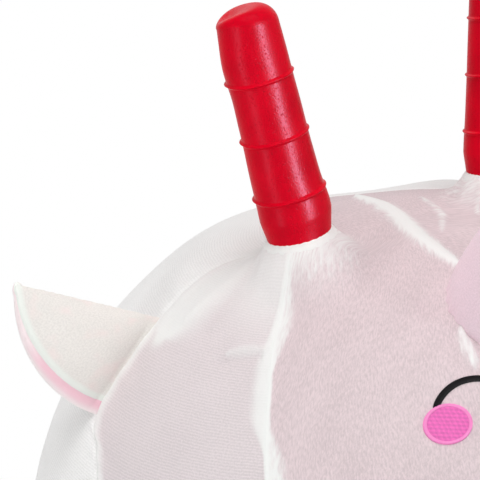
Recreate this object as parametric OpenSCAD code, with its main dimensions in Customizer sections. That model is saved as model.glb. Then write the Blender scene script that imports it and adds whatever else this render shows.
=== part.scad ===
// Hopper ball in a zipped plush cover with an animal's face, ears and horn.
// The origin is the middle of the flat patch that the ball rests on, +Z is up and the face looks towards -Y.
// The left side is the viewer's left, -X. Right-hand pieces are mirror images of the left-hand ones.

/* [Ball] */
// Diameter of the inflated ball
ball_d = 450; // [400:1:500]
// Thickness of the ball's moulded wall
ball_wall = 1.2; // [0.8:0.1:2.5]
// How far the crown between the handles is flattened
crown_drop = 10; // [6:0.5:13]
// Radius of the flattened crown's own curve
crown_r = 320; // [300:5:380]
// Diameter of the patch that lies flat on the floor
rest_d = 80; // [50:1:110]

/* [Handles] */
// Distance between the two handle roots
handle_spread = 145.8; // [130:0.2:165]
// Height of a handle's root above the round ball
root_rise = 13.2; // [9:0.2:18]
// Length of a handle above the edge of the cover
handle_len = 131; // [115:1:150]
// Diameter of a handle at its root
root_d = 35.2; // [31:0.2:38]
// Diameter of a handle's swelling above the root
swell_d = 38.8; // [36:0.2:44]
// Diameter of a handle below its round end
end_d = 33; // [30:0.2:36]
// Thickness of a handle's moulded wall
handle_wall = 2.5; // [1.5:0.1:4]
// Outward tilt of a handle in degrees
handle_splay = 7.8; // [4:0.2:10]
// Backward tilt of a handle in degrees
handle_lean = 10.7; // [6:0.1:13]
// Height of the lowest grip ring above the root
ring_first = 27.3; // [22:0.1:32]
// Distance from one grip ring to the next
ring_pitch = 33.2; // [26:0.1:36]
// Number of grip rings on a handle
ring_count = 3; // [1:1:3]
// Radius of a grip ring's bead
ring_bead_r = 1.6; // [1:0.1:2.4]

/* [Cover] */
// Thickness of the plush
cover_t = 2.2; // [1.5:0.1:3.5]
// Diameter of the round panel under the ball
base_panel_d = 190; // [170:1:230]
// Width of the hem band round a handle hole
hem_w = 8; // [5:0.5:10]
// Thickness of the hem band
hem_t = 1.2; // [0.8:0.1:2]

/* [Face] */
// Turn of an eye's middle from the centre line in degrees
eye_turn = 24.2; // [20:0.2:30]
// Height of an eye's middle in degrees above the ball's equator
eye_up = 48.1; // [40:0.1:50]
// Radius of an eye's stitched arc
eye_r = 25; // [18:0.5:28]
// Half of an eye's arc in degrees
eye_half_arc = 66; // [40:1:75]
// Width of an eye's stitched line
eye_stroke = 4; // [3:0.1:6]
// Turn of a cheek from the centre line in degrees
cheek_turn = 31; // [28:0.2:36]
// Height of a cheek in degrees above the ball's equator
cheek_up = 48.5; // [42:0.1:50]
// Width of a cheek
cheek_w = 26; // [20:0.5:32]
// Height of a cheek
cheek_h = 21.5; // [16:0.5:28]
// How far the stitching stands above the plush
stitch_rise = 1.2; // [0.6:0.1:2]

/* [Ears] */
// Length of an ear from its seam to its tip
ear_len = 83; // [65:1:100]
// Reach of an ear's root above its middle
ear_up_w = 30; // [24:0.5:34]
// Reach of an ear's root below its middle
ear_down_w = 35; // [28:0.5:40]
// Swelling of an ear's lower edge beyond a straight line
ear_belly = 14; // [8:0.5:18]
// Half of an ear's greatest thickness
ear_half_t = 8.5; // [6:0.5:12]
// Radius of an ear's rolled root, about which it bends
ear_roll_r = 3.4; // [2.4:0.1:5]
// Thickness of an ear's cloth
ear_skin = 1.4; // [0.8:0.1:2]
// Height of an ear in degrees above the ball's equator
ear_up = 43.2; // [38:0.1:48]
// Direction of an ear seen from above in degrees
ear_turn = 161.9; // [156:0.1:168]
// Twist of an ear about its own length in degrees
ear_twist = 11.9; // [6:0.1:18]

/* [Horn] */
// Diameter of the horn where it meets the cover
horn_d = 80; // [60:1:90]
// Length of the horn
horn_len = 118; // [80:1:140]
// Radius of the horn's round tip
horn_tip_r = 10; // [7:0.5:14]
// Thickness of the horn's cloth
horn_skin_t = 1.8; // [1:0.1:3]
// Height of the horn in degrees above the ball's equator
horn_up = 64; // [60:0.5:70]

/* [Zip] */
// Angle of the zip's upper end above the equator in degrees
zip_top = 8; // [0:1:15]
// Angle of the zip's lower end below the equator in degrees
zip_bottom = 55; // [40:1:57]
// Width of one zip tape
tape_w = 10; // [7:0.5:14]
// Thickness of a zip tape
tape_t = 0.6; // [0.4:0.1:1]
// Distance from one zip tooth to the next
tooth_pitch = 3; // [2:0.1:5]
// Width of one row of teeth
tooth_w = 2.5; // [2:0.1:4]
// Height of the teeth
tooth_h = 2; // [1.5:0.1:2.4]
// Gap between the two rows of teeth
tooth_slot = 1.4; // [1.2:0.1:2]
// Length of the slider
slider_len = 11; // [8:0.5:16]
// Thickness of each slider plate
plate_t = 1.1; // [0.8:0.1:1.3]
// Length of the pull tab
pull_len = 24; // [16:1:34]
// Width of the pull tab
pull_w = 8; // [6:0.5:12]
// Thickness of the pull tab
pull_t = 1.2; // [0.8:0.1:1.6]
// Radius of the pull's pin
pin_r = 0.8; // [0.6:0.05:1]

/* [Valve] */
// Angle of the valve below the equator in degrees
valve_down = 22; // [12:1:35]
// Radius of the valve seat
seat_r = 10; // [8:0.5:13]
// Length of the valve seat into the ball
seat_len = 9; // [7:0.5:14]
// Radius of the valve's air hole
air_hole_r = 4; // [3:0.5:5]

/* [Hidden] */
$fn = 72;

// Clearances and the one overrun that all cuts share
cover_gap = 0.3;
sew_gap = 0.05;
run_gap = 0.35;
pin_gap = 0.05;
overrun = 5;

// Ball and cover
ball_r = ball_d / 2;
cover_off = cover_gap + cover_t;
cover_r = ball_r + cover_off;
centre_z = sqrt(pow(cover_r, 2) - pow(rest_d / 2, 2));
crown_z = ball_r - crown_drop - crown_r;
reach = 2 * ball_d;

// Handles: the root's place on the ball, and the flared neck under it
handle_set = 0.8;
root_z = sqrt(pow(ball_r + root_rise, 2) - pow(handle_spread / 2, 2) - pow(handle_set, 2));
neck_drop = 52;
neck_flare = 40;
neck_half_angle = atan(neck_flare / neck_drop);
end_round_r = 9;
// Height up the handle, and where the radius lies between the swelling's (1) and the end's (0)
grip_height_shares = [0.05, 0.11, 0.2, 0.46, 0.72, 0.87];
grip_width_shares = [0.65, 1, 0.93, 0.6, 0.34, 0.15];
end_steps = 6;

// Seams seen from above on the viewer's left, as shares of the cover's radius
face_seam_shares = [
  [-0.44, -0.075], [-0.527, -0.154], [-0.615, -0.26], [-0.7, -0.38], [-0.752, -0.51], [-0.767, -0.596]
];
ear_seam_shares = [
  [-0.36, 0.15], [-0.44, 0.211], [-0.6, 0.226], [-0.78, 0.226], [-0.835, 0.154], [-0.88, 0.086], [-0.94, 0.03]
];
crown_seam_shares = [[-0.29, 0.16], [-0.19, 0.34]];
crown_seam_back_share = 0.4;
// Where the seams cross the equator: an angle from the front, and shares of the radius just in and far out
face_seam_turn = 50;
side_seam_turn = 90;
rim_share = 0.985;
far_share = 1.25;
// Below the equator the face seam steps aside a little, so that its two walls don't lie in one plane
lower_seam_step = 0.3;
lower_seam_turn = face_seam_turn + lower_seam_step;
seam_steps = 4;

// Ears: counts of the form's rings and of its points round a ring
ear_roll_rings = 3;
ear_rings = 12;
ear_points = 20;
ear_seat_gap = 0.4;
ear_tip_shift = -1.5;
ear_front_from = 48;
ear_front_to = 180;
ear_tip_share = 0.985;
ear_fill_gap = 0.2;
ear_thin_share = 0.72;
ear_fill_share = 0.6;
ear_spread_power = 0.9;
ear_swell_shift = 0.72;
ear_swell_power = 0.8;

// Horn: the arc of its side, worked out so that it runs smoothly into the round tip
horn_rise = horn_len - horn_tip_r;
horn_arc_r = (pow(horn_d / 2, 2) + pow(horn_rise, 2) - pow(horn_tip_r, 2)) / (horn_d - 2 * horn_tip_r);
horn_root = 20;

// Zip: radii from the ball outwards
tape_in = cover_r + sew_gap;
tooth_in = tape_in - tooth_h / 4;
tooth_out = tooth_in + tooth_h;
row_in = tooth_slot / 2;
row_out = row_in + tooth_w;
plate_low_in = ball_r + run_gap;
plate_low_out = plate_low_in + plate_t;
plate_high_in = tooth_out + run_gap;
plate_high_out = plate_high_in + plate_t;
flange_in = row_out + run_gap;
flange_w = 1.6;
plate_half_w = flange_in + flange_w;
slot_half_w = plate_half_w + 3 * run_gap;
tooth_len_share = 0.55;
stop_len = 3;
bead_w = 0.8;
lug_w = 1.2;
lug_gap = 0.4;
ring_wall = 1.1;
eye_ring_r = pin_r + ring_wall;
pin_out = plate_high_out + eye_ring_r + run_gap;
lug_out = pin_out + eye_ring_r;
pull_neck_half_w = 2.2;
pull_neck_len = 4.5;
pull_hole_r = 1.8;
post_half_w = row_in - run_gap;
post_len = 2.5;
function arc_angle(length) = length / cover_r * 180 / PI;
stop_angle = arc_angle(stop_len);
slider_half_angle = arc_angle(slider_len) / 2;
slider_rest = -zip_top + stop_angle + slider_half_angle + arc_angle(run_gap);

// Valve: depths below the ball's surface
seat_sink = 0.3;
seat_flange = 3;
seat_flange_gap = 0.6;
seat_flange_sink = ball_wall + seat_flange_gap;
seat_rim = 2;
plug_head_t = 2;
plug_head_r = seat_r - seat_rim;

// Helpers for lists
function flip_x(points) = [for (p = points) [-p[0], p[1]]];
function backwards(points) = [for (i = [len(points) - 1:-1:0]) points[i]];
function front_ray(turn, share) = [-sin(turn), -cos(turn)] * share * cover_r;

// A smooth curve through points: cubic spans that pass each point in the direction of its neighbours
function span(a, b, c, d, t) =
  b + ((c - a) * t + (2 * a - 5 * b + 4 * c - d) * pow(t, 2) + (3 * b - a - 3 * c + d) * pow(t, 3)) / 2;
function curved(points) =
  let (last = len(points) - 1)
  concat(
    [for (i = [0:last - 1]) for (k = [0:seam_steps - 1])
      span(points[max(i - 1, 0)], points[i], points[i + 1], points[min(i + 2, last)], k / seam_steps)],
    [points[last]]
  );

// Outlines of the seams on the viewer's left, from the handle hole outwards
handle_hole = [-handle_spread / 2, handle_set];
face_seam = concat(
  curved(concat([handle_hole], face_seam_shares * cover_r, [front_ray(face_seam_turn, rim_share)])),
  [front_ray(face_seam_turn, far_share)]
);
ear_seam = concat(
  curved(concat([handle_hole], ear_seam_shares * cover_r, [front_ray(side_seam_turn, rim_share)])),
  [front_ray(side_seam_turn, far_share)]
);
crown_half = concat([handle_hole], crown_seam_shares * cover_r);
crown_back = [0, crown_seam_back_share * cover_r];
crown_seam = curved(concat(crown_half, [crown_back], backwards(flip_x(crown_half))));
crown_left = [for (i = [0:(len(crown_seam) - 1) / 2]) crown_seam[i]];
front_corner = [-far_share, -far_share] * cover_r;
back_corner = [-far_share, far_share] * cover_r;
back_middle = [0, far_share * cover_r];

// Outlines of the panels above and below the equator
face_upper = concat(
  face_seam, [front_corner], flip_x([front_corner]), backwards(flip_x(face_seam)), backwards(crown_seam)
);
face_lower = concat([[0, 0], front_ray(lower_seam_turn, far_share), front_corner], flip_x([front_corner]),
  [front_ray(-lower_seam_turn, far_share)]);
side_upper = concat(face_seam, backwards(ear_seam));
side_lower = [[0, 0], front_ray(lower_seam_turn, far_share), front_ray(side_seam_turn, far_share)];
back_upper = concat(ear_seam, [back_corner, back_middle], backwards(crown_left));
back_lower = [[0, 0], front_ray(side_seam_turn, far_share), back_corner, back_middle];

// Places

// Moves what is modelled about the ball's centre to its height above the floor
module at_centre() {
  translate([0, 0, centre_z]) children();
}

// Draws a shape on the viewer's left and its mirror image on the right
module both_sides() {
  children();
  mirror([1, 0, 0]) children();
}

module mirrored() {
  mirror([1, 0, 0]) children();
}

// The left handle's frame: its root's middle, with +Z along the handle
module handle_frame() {
  translate([-handle_spread / 2, handle_set, root_z])
    rotate([-handle_lean, 0, 0])
      rotate([0, -handle_splay, 0])
        children();
}

// Turns +Z to a place on the viewer's left of the face; +X then runs towards the viewer's right, +Y upwards
module face_frame(turn, up) {
  rotate([0, 0, -turn]) rotate([90 - up, 0, 0]) children();
}

// The left ear's frame: +X along its seam, downwards, +Y to the front, +Z out of the ball
module ear_frame() {
  rotate([0, 90 - ear_up, ear_turn])
    rotate([0, 0, ear_twist])
      translate([0, 0, cover_r])
        children();
}

// Turns a revolved shape so that it runs down the ball's back, from the equator, about the X axis
module down_the_back() {
  rotate([-90, 0, 0]) rotate([0, -90, 0]) children();
}

// Shared forms

// A handle's flared neck, grown outwards by off and carried upwards by through
module neck(off, through) {
  grow = off / cos(neck_half_angle);
  translate([0, 0, -neck_drop])
    cylinder(h = neck_drop, r1 = root_d / 2 + neck_flare + grow, r2 = root_d / 2 + grow);
  if (through > 0)
    translate([0, 0, -through]) cylinder(h = 2 * through, r = root_d / 2 + grow);
}

// The ball's outside, grown outwards by off: a sphere with a flatter crown, two necks and a flat patch below
module body_form(off, through = 0) {
  intersection() {
    union() {
      intersection() {
        sphere(r = ball_r + off);
        translate([0, 0, crown_z]) rotate([0, 90, 0]) sphere(r = crown_r + off);
      }
      both_sides() handle_frame() neck(off, through);
    }
    translate([-reach / 2, -reach / 2, cover_off - off - centre_z]) cube(reach);
  }
}

// The whole plush cover, before it is cut into panels
module cover_form() {
  difference() {
    body_form(cover_off);
    body_form(cover_gap, overrun);
  }
}

module base_round(grow = 0) {
  translate([0, 0, -reach]) cylinder(h = reach, d = base_panel_d + grow);
}

// One panel of the cover, from its outlines above and below the equator
module cover_panel(upper, lower) {
  difference() {
    intersection() {
      cover_form();
      union() {
        linear_extrude(height = reach) polygon(upper);
        translate([0, 0, -reach]) linear_extrude(height = reach) polygon(lower);
      }
    }
    base_round();
  }
}

// A layer of stitching that lies on the cover, inside a straight prism
module stitched() {
  intersection() {
    difference() {
      body_form(cover_off + stitch_rise);
      body_form(cover_off + sew_gap);
    }
    children();
  }
}

// Half of a ring on the ball's back: from one side distance and radius to another, between two angles
module back_strip(side_from, side_to, r_in, r_out, angle_from, angle_to) {
  down_the_back()
    rotate_extrude(angle = angle_to - angle_from, start = angle_from)
      intersection() {
        difference() {
          circle(r = r_out);
          circle(r = r_in);
        }
        translate([0, side_from]) square([reach, side_to - side_from]);
      }
}

// Ball and handles

module ball_shell() {
  color("firebrick")
    at_centre()
      difference() {
        body_form(0);
        body_form(-ball_wall, overrun);
        valve_frame() translate([0, 0, -seat_len]) cylinder(h = seat_len + overrun, r = seat_r);
      }
}

function grip_radius(share) = end_d / 2 + share * (swell_d - end_d) / 2;

// A handle's outside from its root to the middle of its round end, set in by inset
function grip_profile(inset) = concat(
  [[root_d / 2 - inset, 0]],
  [for (i = [0:len(grip_height_shares) - 1])
    [grip_radius(grip_width_shares[i]) - inset, grip_height_shares[i] * handle_len]],
  [for (i = [0:end_steps])
    let (a = 90 * i / end_steps)
    [end_d / 2 - end_round_r + (end_round_r - inset) * cos(a),
     handle_len - end_round_r + (end_round_r - inset) * sin(a)]]
);

module grip(inset) {
  profile = grip_profile(inset);
  rotate_extrude() polygon(concat([[0, 0]], profile, [[0, handle_len - inset]]));
}

// The grip's radius at a height, between two points of its outline
function grip_at(height) = lookup(height, [for (p = grip_profile(0)) [p[1], p[0]]]);

module handle() {
  at_centre() handle_frame() difference() {
    union() {
      grip(0);
      for (i = [0:ring_count - 1])
        let (h = ring_first + i * ring_pitch)
          translate([0, 0, h])
            rotate_extrude() translate([grip_at(h) - ring_bead_r / 2, 0]) circle(r = ring_bead_r);
    }
    grip(handle_wall);
    translate([0, 0, -overrun]) cylinder(h = 2 * overrun, r = root_d / 2 - handle_wall);
  }
}

module left_handle() {
  color("crimson") handle();
}

module right_handle() {
  color("crimson") mirrored() handle();
}

// Valve under the zip

// The valve's frame: a point on the ball's back, with +Z outwards
module valve_frame() {
  rotate([-90 - valve_down, 0, 0]) translate([0, 0, ball_r - seat_sink]) children();
}

module valve_seat() {
  color("whitesmoke") at_centre() valve_frame() difference() {
    union() {
      translate([0, 0, -seat_len]) cylinder(h = seat_len, r = seat_r);
      translate([0, 0, -seat_len])
        cylinder(h = seat_len - seat_flange_sink, r = seat_r + seat_flange);
    }
    translate([0, 0, -seat_len - overrun]) cylinder(h = seat_len + 2 * overrun, r = air_hole_r);
    translate([0, 0, -plug_head_t]) cylinder(h = plug_head_t + overrun, r = plug_head_r);
  }
}

module valve_plug() {
  color("white") at_centre() valve_frame() {
    translate([0, 0, -plug_head_t]) cylinder(h = plug_head_t, r = plug_head_r - pin_gap);
    translate([0, 0, -seat_len]) cylinder(h = seat_len, r = air_hole_r - pin_gap);
  }
}

// Cover

module face_panel() {
  color("mistyrose") at_centre() cover_panel(face_upper, face_lower);
}

module side_panel() {
  at_centre() cover_panel(side_upper, side_lower);
}

module left_side_panel() {
  color("lavenderblush") side_panel();
}

module right_side_panel() {
  color("lavenderblush") mirrored() side_panel();
}

module back_panel() {
  at_centre() difference() {
    cover_panel(back_upper, back_lower);
    back_strip(-slot_half_w, slot_half_w, ball_r, cover_r + overrun, -zip_top, zip_bottom);
  }
}

module left_back_panel() {
  color("snow") back_panel();
}

module right_back_panel() {
  color("snow") mirrored() back_panel();
}

module base_panel() {
  color("ghostwhite") at_centre() intersection() {
    cover_form();
    base_round();
  }
}

module handle_hem() {
  at_centre() handle_frame() intersection() {
    difference() {
      neck(cover_off + sew_gap + hem_t, 0);
      neck(cover_off + sew_gap, overrun);
    }
    translate([0, 0, -hem_w]) cylinder(h = hem_w, r = reach);
  }
}

module left_handle_hem() {
  color("white") handle_hem();
}

module right_handle_hem() {
  color("white") mirrored() handle_hem();
}

// Horn

// The horn's outside, set in by inset: an arc from its root to a round tip, about the horn's own axis
module horn_form(inset) {
  tip_from = horn_rise * (horn_arc_r - inset) / (horn_arc_r - horn_tip_r);
  rotate([90 - horn_up, 0, 0]) rotate_extrude() {
    intersection() {
      translate([horn_d / 2 - horn_arc_r, cover_r]) circle(r = horn_arc_r - inset);
      translate([0, cover_r - horn_root]) square([reach, horn_root + tip_from]);
    }
    intersection() {
      translate([0, cover_r + horn_rise]) circle(r = horn_tip_r - inset);
      translate([0, cover_r + tip_from]) square(reach);
    }
  }
}

module horn_skin() {
  color("pink") at_centre() difference() {
    horn_form(0);
    horn_form(horn_skin_t);
    body_form(cover_off + sew_gap);
  }
}

module horn_stuffing() {
  color("white") at_centre() difference() {
    horn_form(horn_skin_t + sew_gap);
    body_form(cover_off + sew_gap);
  }
}

// Stitched face

function oval(w, h, steps) = [for (i = [0:steps - 1])
  let (a = 360 * i / steps)
  [w / 2 * cos(a), h / 2 * sin(a)]];

cheek_steps = 36;
cheek_tilt = 12;

module cheek_prism(grow) {
  face_frame(cheek_turn, cheek_up) rotate([0, 0, cheek_tilt])
    linear_extrude(height = reach) polygon(oval(cheek_w + grow, cheek_h + grow, cheek_steps));
}

module eye_prism() {
  face_frame(eye_turn, eye_up)
    rotate_extrude(angle = 2 * eye_half_arc, start = 90 - eye_half_arc)
      translate([eye_r - eye_stroke / 2, 0]) square([eye_stroke, reach]);
}

module eye() {
  at_centre() difference() {
    stitched() eye_prism();
    cheek_prism(2 * sew_gap);
  }
}

module cheek() {
  at_centre() stitched() cheek_prism(0);
}

module left_eye() {
  color("black") eye();
}

module right_eye() {
  color("black") mirrored() eye();
}

module left_cheek() {
  color("orchid") cheek();
}

module right_cheek() {
  color("orchid") mirrored() cheek();
}

// Ears: each is a stack of oval rings that starts in a round roll at the seam, swells and tapers to the tip

ear_axis = ear_roll_r + ear_seat_gap;
ear_chord = [ear_down_w - ear_tip_shift, -ear_len];
ear_chord_len = norm(ear_chord);
ear_edge_r = (pow(ear_chord_len / 2, 2) + pow(ear_belly, 2)) / (2 * ear_belly);
ear_edge_across = [ear_len, ear_chord[0]] / ear_chord_len;
ear_edge_centre = [ear_tip_shift + ear_down_w, ear_len] / 2 - ear_edge_across * (ear_edge_r - ear_belly);

// Height of ring i above the cover: first round the roll, then evenly up to the tip
function ear_height(i) = i < ear_roll_rings
  ? ear_axis - ear_roll_r * cos(90 * (i + 0.5) / ear_roll_rings)
  : let (share = (i - ear_roll_rings) / (ear_rings - 1))
    ear_axis + (ear_len * ear_tip_share - ear_axis) * pow(share, ear_spread_power);

// Half thickness of ring i: the roll's round, then a swelling that dies away at the tip
function ear_thick(i) = i < ear_roll_rings
  ? ear_roll_r * sin(90 * (i + 0.5) / ear_roll_rings)
  : let (s = (ear_height(i) - ear_axis) / (ear_len - ear_axis))
    ear_roll_r * (1 - s) + ear_skin * s
    + (ear_half_t - ear_roll_r / 2) * pow(sin(180 * pow(s, ear_swell_shift)), ear_swell_power);

// The straight upper edge and the round lower edge at a height
function ear_top_edge(h) = -ear_up_w + (ear_up_w + ear_tip_shift) * h / ear_len;
function ear_low_edge(h) = ear_edge_centre[0] + sqrt(pow(ear_edge_r, 2) - pow(h - ear_edge_centre[1], 2));
function ear_mid(h) = (ear_top_edge(h) + ear_low_edge(h)) / 2;
function ear_half(h) = (ear_low_edge(h) - ear_top_edge(h)) / 2;

// A point of ring i at an angle, set in by a distance along the ear's width and a share of its thickness
function ear_point(i, angle, set_in, thick_share) =
  let (h = ear_height(i), half = max(ear_half(h) - set_in, ear_half(h) * (1 - ear_fill_share)))
  [ear_mid(h) + half * cos(angle), ear_thick(i) * thick_share * sin(angle), h];

ear_last = ear_roll_rings + ear_rings - 1;

// One side of the ear's cloth between two angles: an outer and an inner sheet joined round their edges
module ear_cloth(from, to, steps) {
  columns = steps + 1;
  angles = [for (j = [0:steps]) from + (to - from) * j / steps];
  outer = [for (i = [0:ear_last]) for (a = angles) ear_point(i, a, 0, 1)];
  inner = [for (i = [0:ear_last]) for (a = angles) ear_point(i, a, ear_skin, ear_thin_share)];
  shift = len(outer);
  sheets = [for (i = [0:ear_last - 1]) for (j = [0:steps - 1])
    let (p = i * columns + j, q = p + columns)
    each [[p, q, p + 1], [p + 1, q, q + 1], [p + shift, p + 1 + shift, q + shift],
          [p + 1 + shift, q + 1 + shift, q + shift]]];
  ends = [for (j = [0:steps - 1])
    let (p = j, q = ear_last * columns + j)
    each [[p, p + 1, p + shift], [p + 1, p + 1 + shift, p + shift],
          [q, q + shift, q + 1], [q + 1, q + shift, q + 1 + shift]]];
  sides = [for (i = [0:ear_last - 1])
    let (p = i * columns, q = p + columns, r = p + steps, s = q + steps)
    each [[p, p + shift, q], [q, p + shift, q + shift], [r, s, r + shift], [s, s + shift, r + shift]]];
  polyhedron(points = concat(outer, inner), faces = concat(sheets, ends, sides));
}

// The ear's stuffing: the same rings, set in from the cloth, with a flat face at each end
module ear_fill() {
  set_in = ear_skin + ear_fill_gap;
  thick_share = ear_thin_share - ear_fill_gap / ear_half_t;
  angles = [for (j = [0:ear_points - 1]) 360 * j / ear_points];
  points = [for (i = [0:ear_last]) for (a = angles) ear_point(i, a, set_in, thick_share)];
  sides = [for (i = [0:ear_last - 1]) for (j = [0:ear_points - 1])
    let (k = (j + 1) % ear_points, p = i * ear_points + j, q = i * ear_points + k)
    each [[p, p + ear_points, q], [q, p + ear_points, q + ear_points]]];
  low_cap = [for (j = [1:ear_points - 2]) [0, j, j + 1]];
  top = ear_last * ear_points;
  high_cap = [for (j = [1:ear_points - 2]) [top, top + j + 1, top + j]];
  polyhedron(points = points, faces = concat(sides, low_cap, high_cap));
}

module ear_front() {
  at_centre() ear_frame() ear_cloth(ear_front_from, ear_front_to, ear_points / 2);
}

module ear_back() {
  at_centre() ear_frame() ear_cloth(ear_front_to, 360 + ear_front_from, ear_points / 2 + ear_points / 4);
}

module ear_stuffing() {
  at_centre() ear_frame() ear_fill();
}

module left_ear_front() {
  color("floralwhite") ear_front();
}

module left_ear_back() {
  color("pink") ear_back();
}

module left_ear_stuffing() {
  color("white") ear_stuffing();
}

module right_ear_front() {
  color("floralwhite") mirrored() ear_front();
}

module right_ear_back() {
  color("pink") mirrored() ear_back();
}

module right_ear_stuffing() {
  color("white") mirrored() ear_stuffing();
}

// Zip down the ball's back

module zip_tape() {
  at_centre() back_strip(row_out, row_out + tape_w, tape_in, tape_in + tape_t, -zip_top, zip_bottom);
}

module left_zip_tape() {
  color("whitesmoke") zip_tape();
}

module right_zip_tape() {
  color("whitesmoke") mirrored() zip_tape();
}

teeth_from = -zip_top + stop_angle;
teeth_to = zip_bottom - stop_angle;
tooth_step = arc_angle(tooth_pitch);
tooth_count = floor((teeth_to - teeth_from) / tooth_step);

module zip_teeth() {
  at_centre() {
    back_strip(row_out - bead_w, row_out, tape_in, tape_in + tape_t, teeth_from, teeth_to);
    for (i = [0:tooth_count - 1])
      let (a = teeth_from + (i + (1 - tooth_len_share) / 2) * tooth_step)
        back_strip(row_in, row_out, tooth_in, tooth_out, a, a + tooth_len_share * tooth_step);
  }
}

module left_zip_teeth() {
  color("white") zip_teeth();
}

module right_zip_teeth() {
  color("white") mirrored() zip_teeth();
}

module zip_top_stop() {
  color("silver") at_centre() back_strip(-row_out, row_out, tooth_in, tooth_out, -zip_top, teeth_from);
}

module zip_bottom_stop() {
  color("silver") at_centre() back_strip(-row_out, row_out, tooth_in, tooth_out, teeth_to, zip_bottom);
}

// The slider's frame at a radius: +X towards the viewer's right, +Y down the zip, +Z outwards
module slider_frame(r) {
  rotate([-90 - slider_rest, 0, 0]) translate([0, 0, r]) children();
}

module zip_slider() {
  from = slider_rest - slider_half_angle;
  to = slider_rest + slider_half_angle;
  color("gainsboro") at_centre() {
    back_strip(-plate_half_w, plate_half_w, plate_low_in, plate_low_out, from, to);
    back_strip(-plate_half_w, plate_half_w, plate_high_in, plate_high_out, from, to);
    both_sides() {
      back_strip(flange_in, plate_half_w, plate_low_out, tape_in - run_gap, from, to);
      back_strip(flange_in, plate_half_w, tape_in + tape_t + run_gap, plate_high_in, from, to);
    }
    back_strip(-post_half_w, post_half_w, plate_low_out, plate_high_in, from, from + arc_angle(post_len));
    both_sides() slider_frame(0) difference() {
      translate([pull_neck_half_w + lug_gap, -eye_ring_r, plate_high_in + plate_t / 2])
        cube([lug_w, 2 * eye_ring_r, lug_out - plate_high_in - plate_t / 2]);
      translate([0, 0, pin_out]) rotate([0, 90, 0]) cylinder(h = reach, r = pin_r);
    }
  }
}

module zip_pin() {
  half = pull_neck_half_w + lug_gap + lug_w;
  color("silver") at_centre() slider_frame(pin_out)
    translate([-half, 0, 0]) rotate([0, 90, 0]) cylinder(h = 2 * half, r = pin_r);
}

// The pull hangs straight down from its pin
module zip_pull() {
  color("gainsboro") at_centre() slider_frame(pin_out) rotate([slider_rest, 0, 0]) difference() {
    union() {
      translate([-pull_neck_half_w, 0, 0])
        rotate([0, 90, 0]) cylinder(h = 2 * pull_neck_half_w, r = eye_ring_r);
      translate([0, 0, -pull_t / 2]) linear_extrude(height = pull_t) difference() {
        union() {
          translate([-pull_neck_half_w, 0]) square([2 * pull_neck_half_w, pull_neck_len]);
          translate([-pull_w / 2, pull_neck_len]) square([pull_w, pull_len - pull_w / 2 - pull_neck_len]);
          translate([0, pull_len - pull_w / 2]) circle(d = pull_w);
        }
        translate([0, pull_len - pull_w / 2]) circle(r = pull_hole_r);
      }
    }
    translate([-reach / 2, 0, 0]) rotate([0, 90, 0]) cylinder(h = reach, r = pin_r + pin_gap);
  }
}

ball_shell();
left_handle();
right_handle();
valve_seat();
valve_plug();
face_panel();
left_side_panel();
right_side_panel();
left_back_panel();
right_back_panel();
base_panel();
left_handle_hem();
right_handle_hem();
horn_skin();
horn_stuffing();
left_eye();
right_eye();
left_cheek();
right_cheek();
left_ear_front();
left_ear_back();
left_ear_stuffing();
right_ear_front();
right_ear_back();
right_ear_stuffing();
left_zip_tape();
right_zip_tape();
left_zip_teeth();
right_zip_teeth();
zip_top_stop();
zip_bottom_stop();
zip_slider();
zip_pin();
zip_pull();
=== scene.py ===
"""Looks of a hopper ball in a zipped plush cover with an animal's face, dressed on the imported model.

Each sub-assembly is a class that holds its sizes and builds its pieces. A piece is a grid of points worked out with
numpy, and a finish is a small class that writes its shader as expressions.
"""
from __future__ import annotations

import logging
import math
from dataclasses import dataclass, field
from enum import Enum
from typing import Any, Sequence

import bpy
import numpy as np
from mathutils import Matrix


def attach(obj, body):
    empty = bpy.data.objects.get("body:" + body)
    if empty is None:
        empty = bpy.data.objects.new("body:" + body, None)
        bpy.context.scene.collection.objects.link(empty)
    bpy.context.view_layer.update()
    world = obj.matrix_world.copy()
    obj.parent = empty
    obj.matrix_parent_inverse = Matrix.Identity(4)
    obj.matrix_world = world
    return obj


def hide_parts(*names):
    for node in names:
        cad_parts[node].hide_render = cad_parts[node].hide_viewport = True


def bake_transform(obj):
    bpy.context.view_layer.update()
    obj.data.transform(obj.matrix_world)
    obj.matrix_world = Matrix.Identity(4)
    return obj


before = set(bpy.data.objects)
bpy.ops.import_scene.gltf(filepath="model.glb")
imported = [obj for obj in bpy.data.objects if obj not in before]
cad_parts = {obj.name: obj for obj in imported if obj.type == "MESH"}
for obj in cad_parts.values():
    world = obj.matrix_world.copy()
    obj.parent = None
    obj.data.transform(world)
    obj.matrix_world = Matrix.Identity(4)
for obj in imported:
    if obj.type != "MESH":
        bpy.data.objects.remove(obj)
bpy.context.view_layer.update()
LOG = logging.getLogger("hopper_ball")
Array = np.ndarray
Colour = tuple[float, float, float]
Paint = tuple[float, float, float, float]
Span = tuple[float, float]

# Shapes are worked out in millimetres about the ball's centre, which stands this high above the floor
MM = 0.001
CENTRE_Z = 223.956
CLOTH_UV = "cloth"

# Slots that several pieces share
RED, PINK_CLOTH, WHITE_CLOTH = "vinyl", "pink_plush", "white_plush"


def unit(vectors: Array) -> Array:
    """Vectors scaled to length one along their last axis."""
    return vectors / np.linalg.norm(vectors, axis=-1, keepdims=True)


def ease(low: float | Array, high: float | Array, value: Array) -> Array:
    """A smooth step: 0 below low, 1 above high, a cubic 3t^2 - 2t^3 between."""
    t = np.clip((value - low) / (high - low), 0.0, 1.0)
    return t * t * (3.0 - 2.0 * t)


def bell(distance: Array, width: float | Array) -> Array:
    """A bell curve exp(-(distance / width)^2)."""
    return np.exp(-np.square(distance / width))


def full_turn(count: int) -> Array:
    """Angles of a whole turn in radians, as one row of count columns."""
    return np.linspace(0.0, 2 * math.pi, count + 1)[None, :-1]


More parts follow.
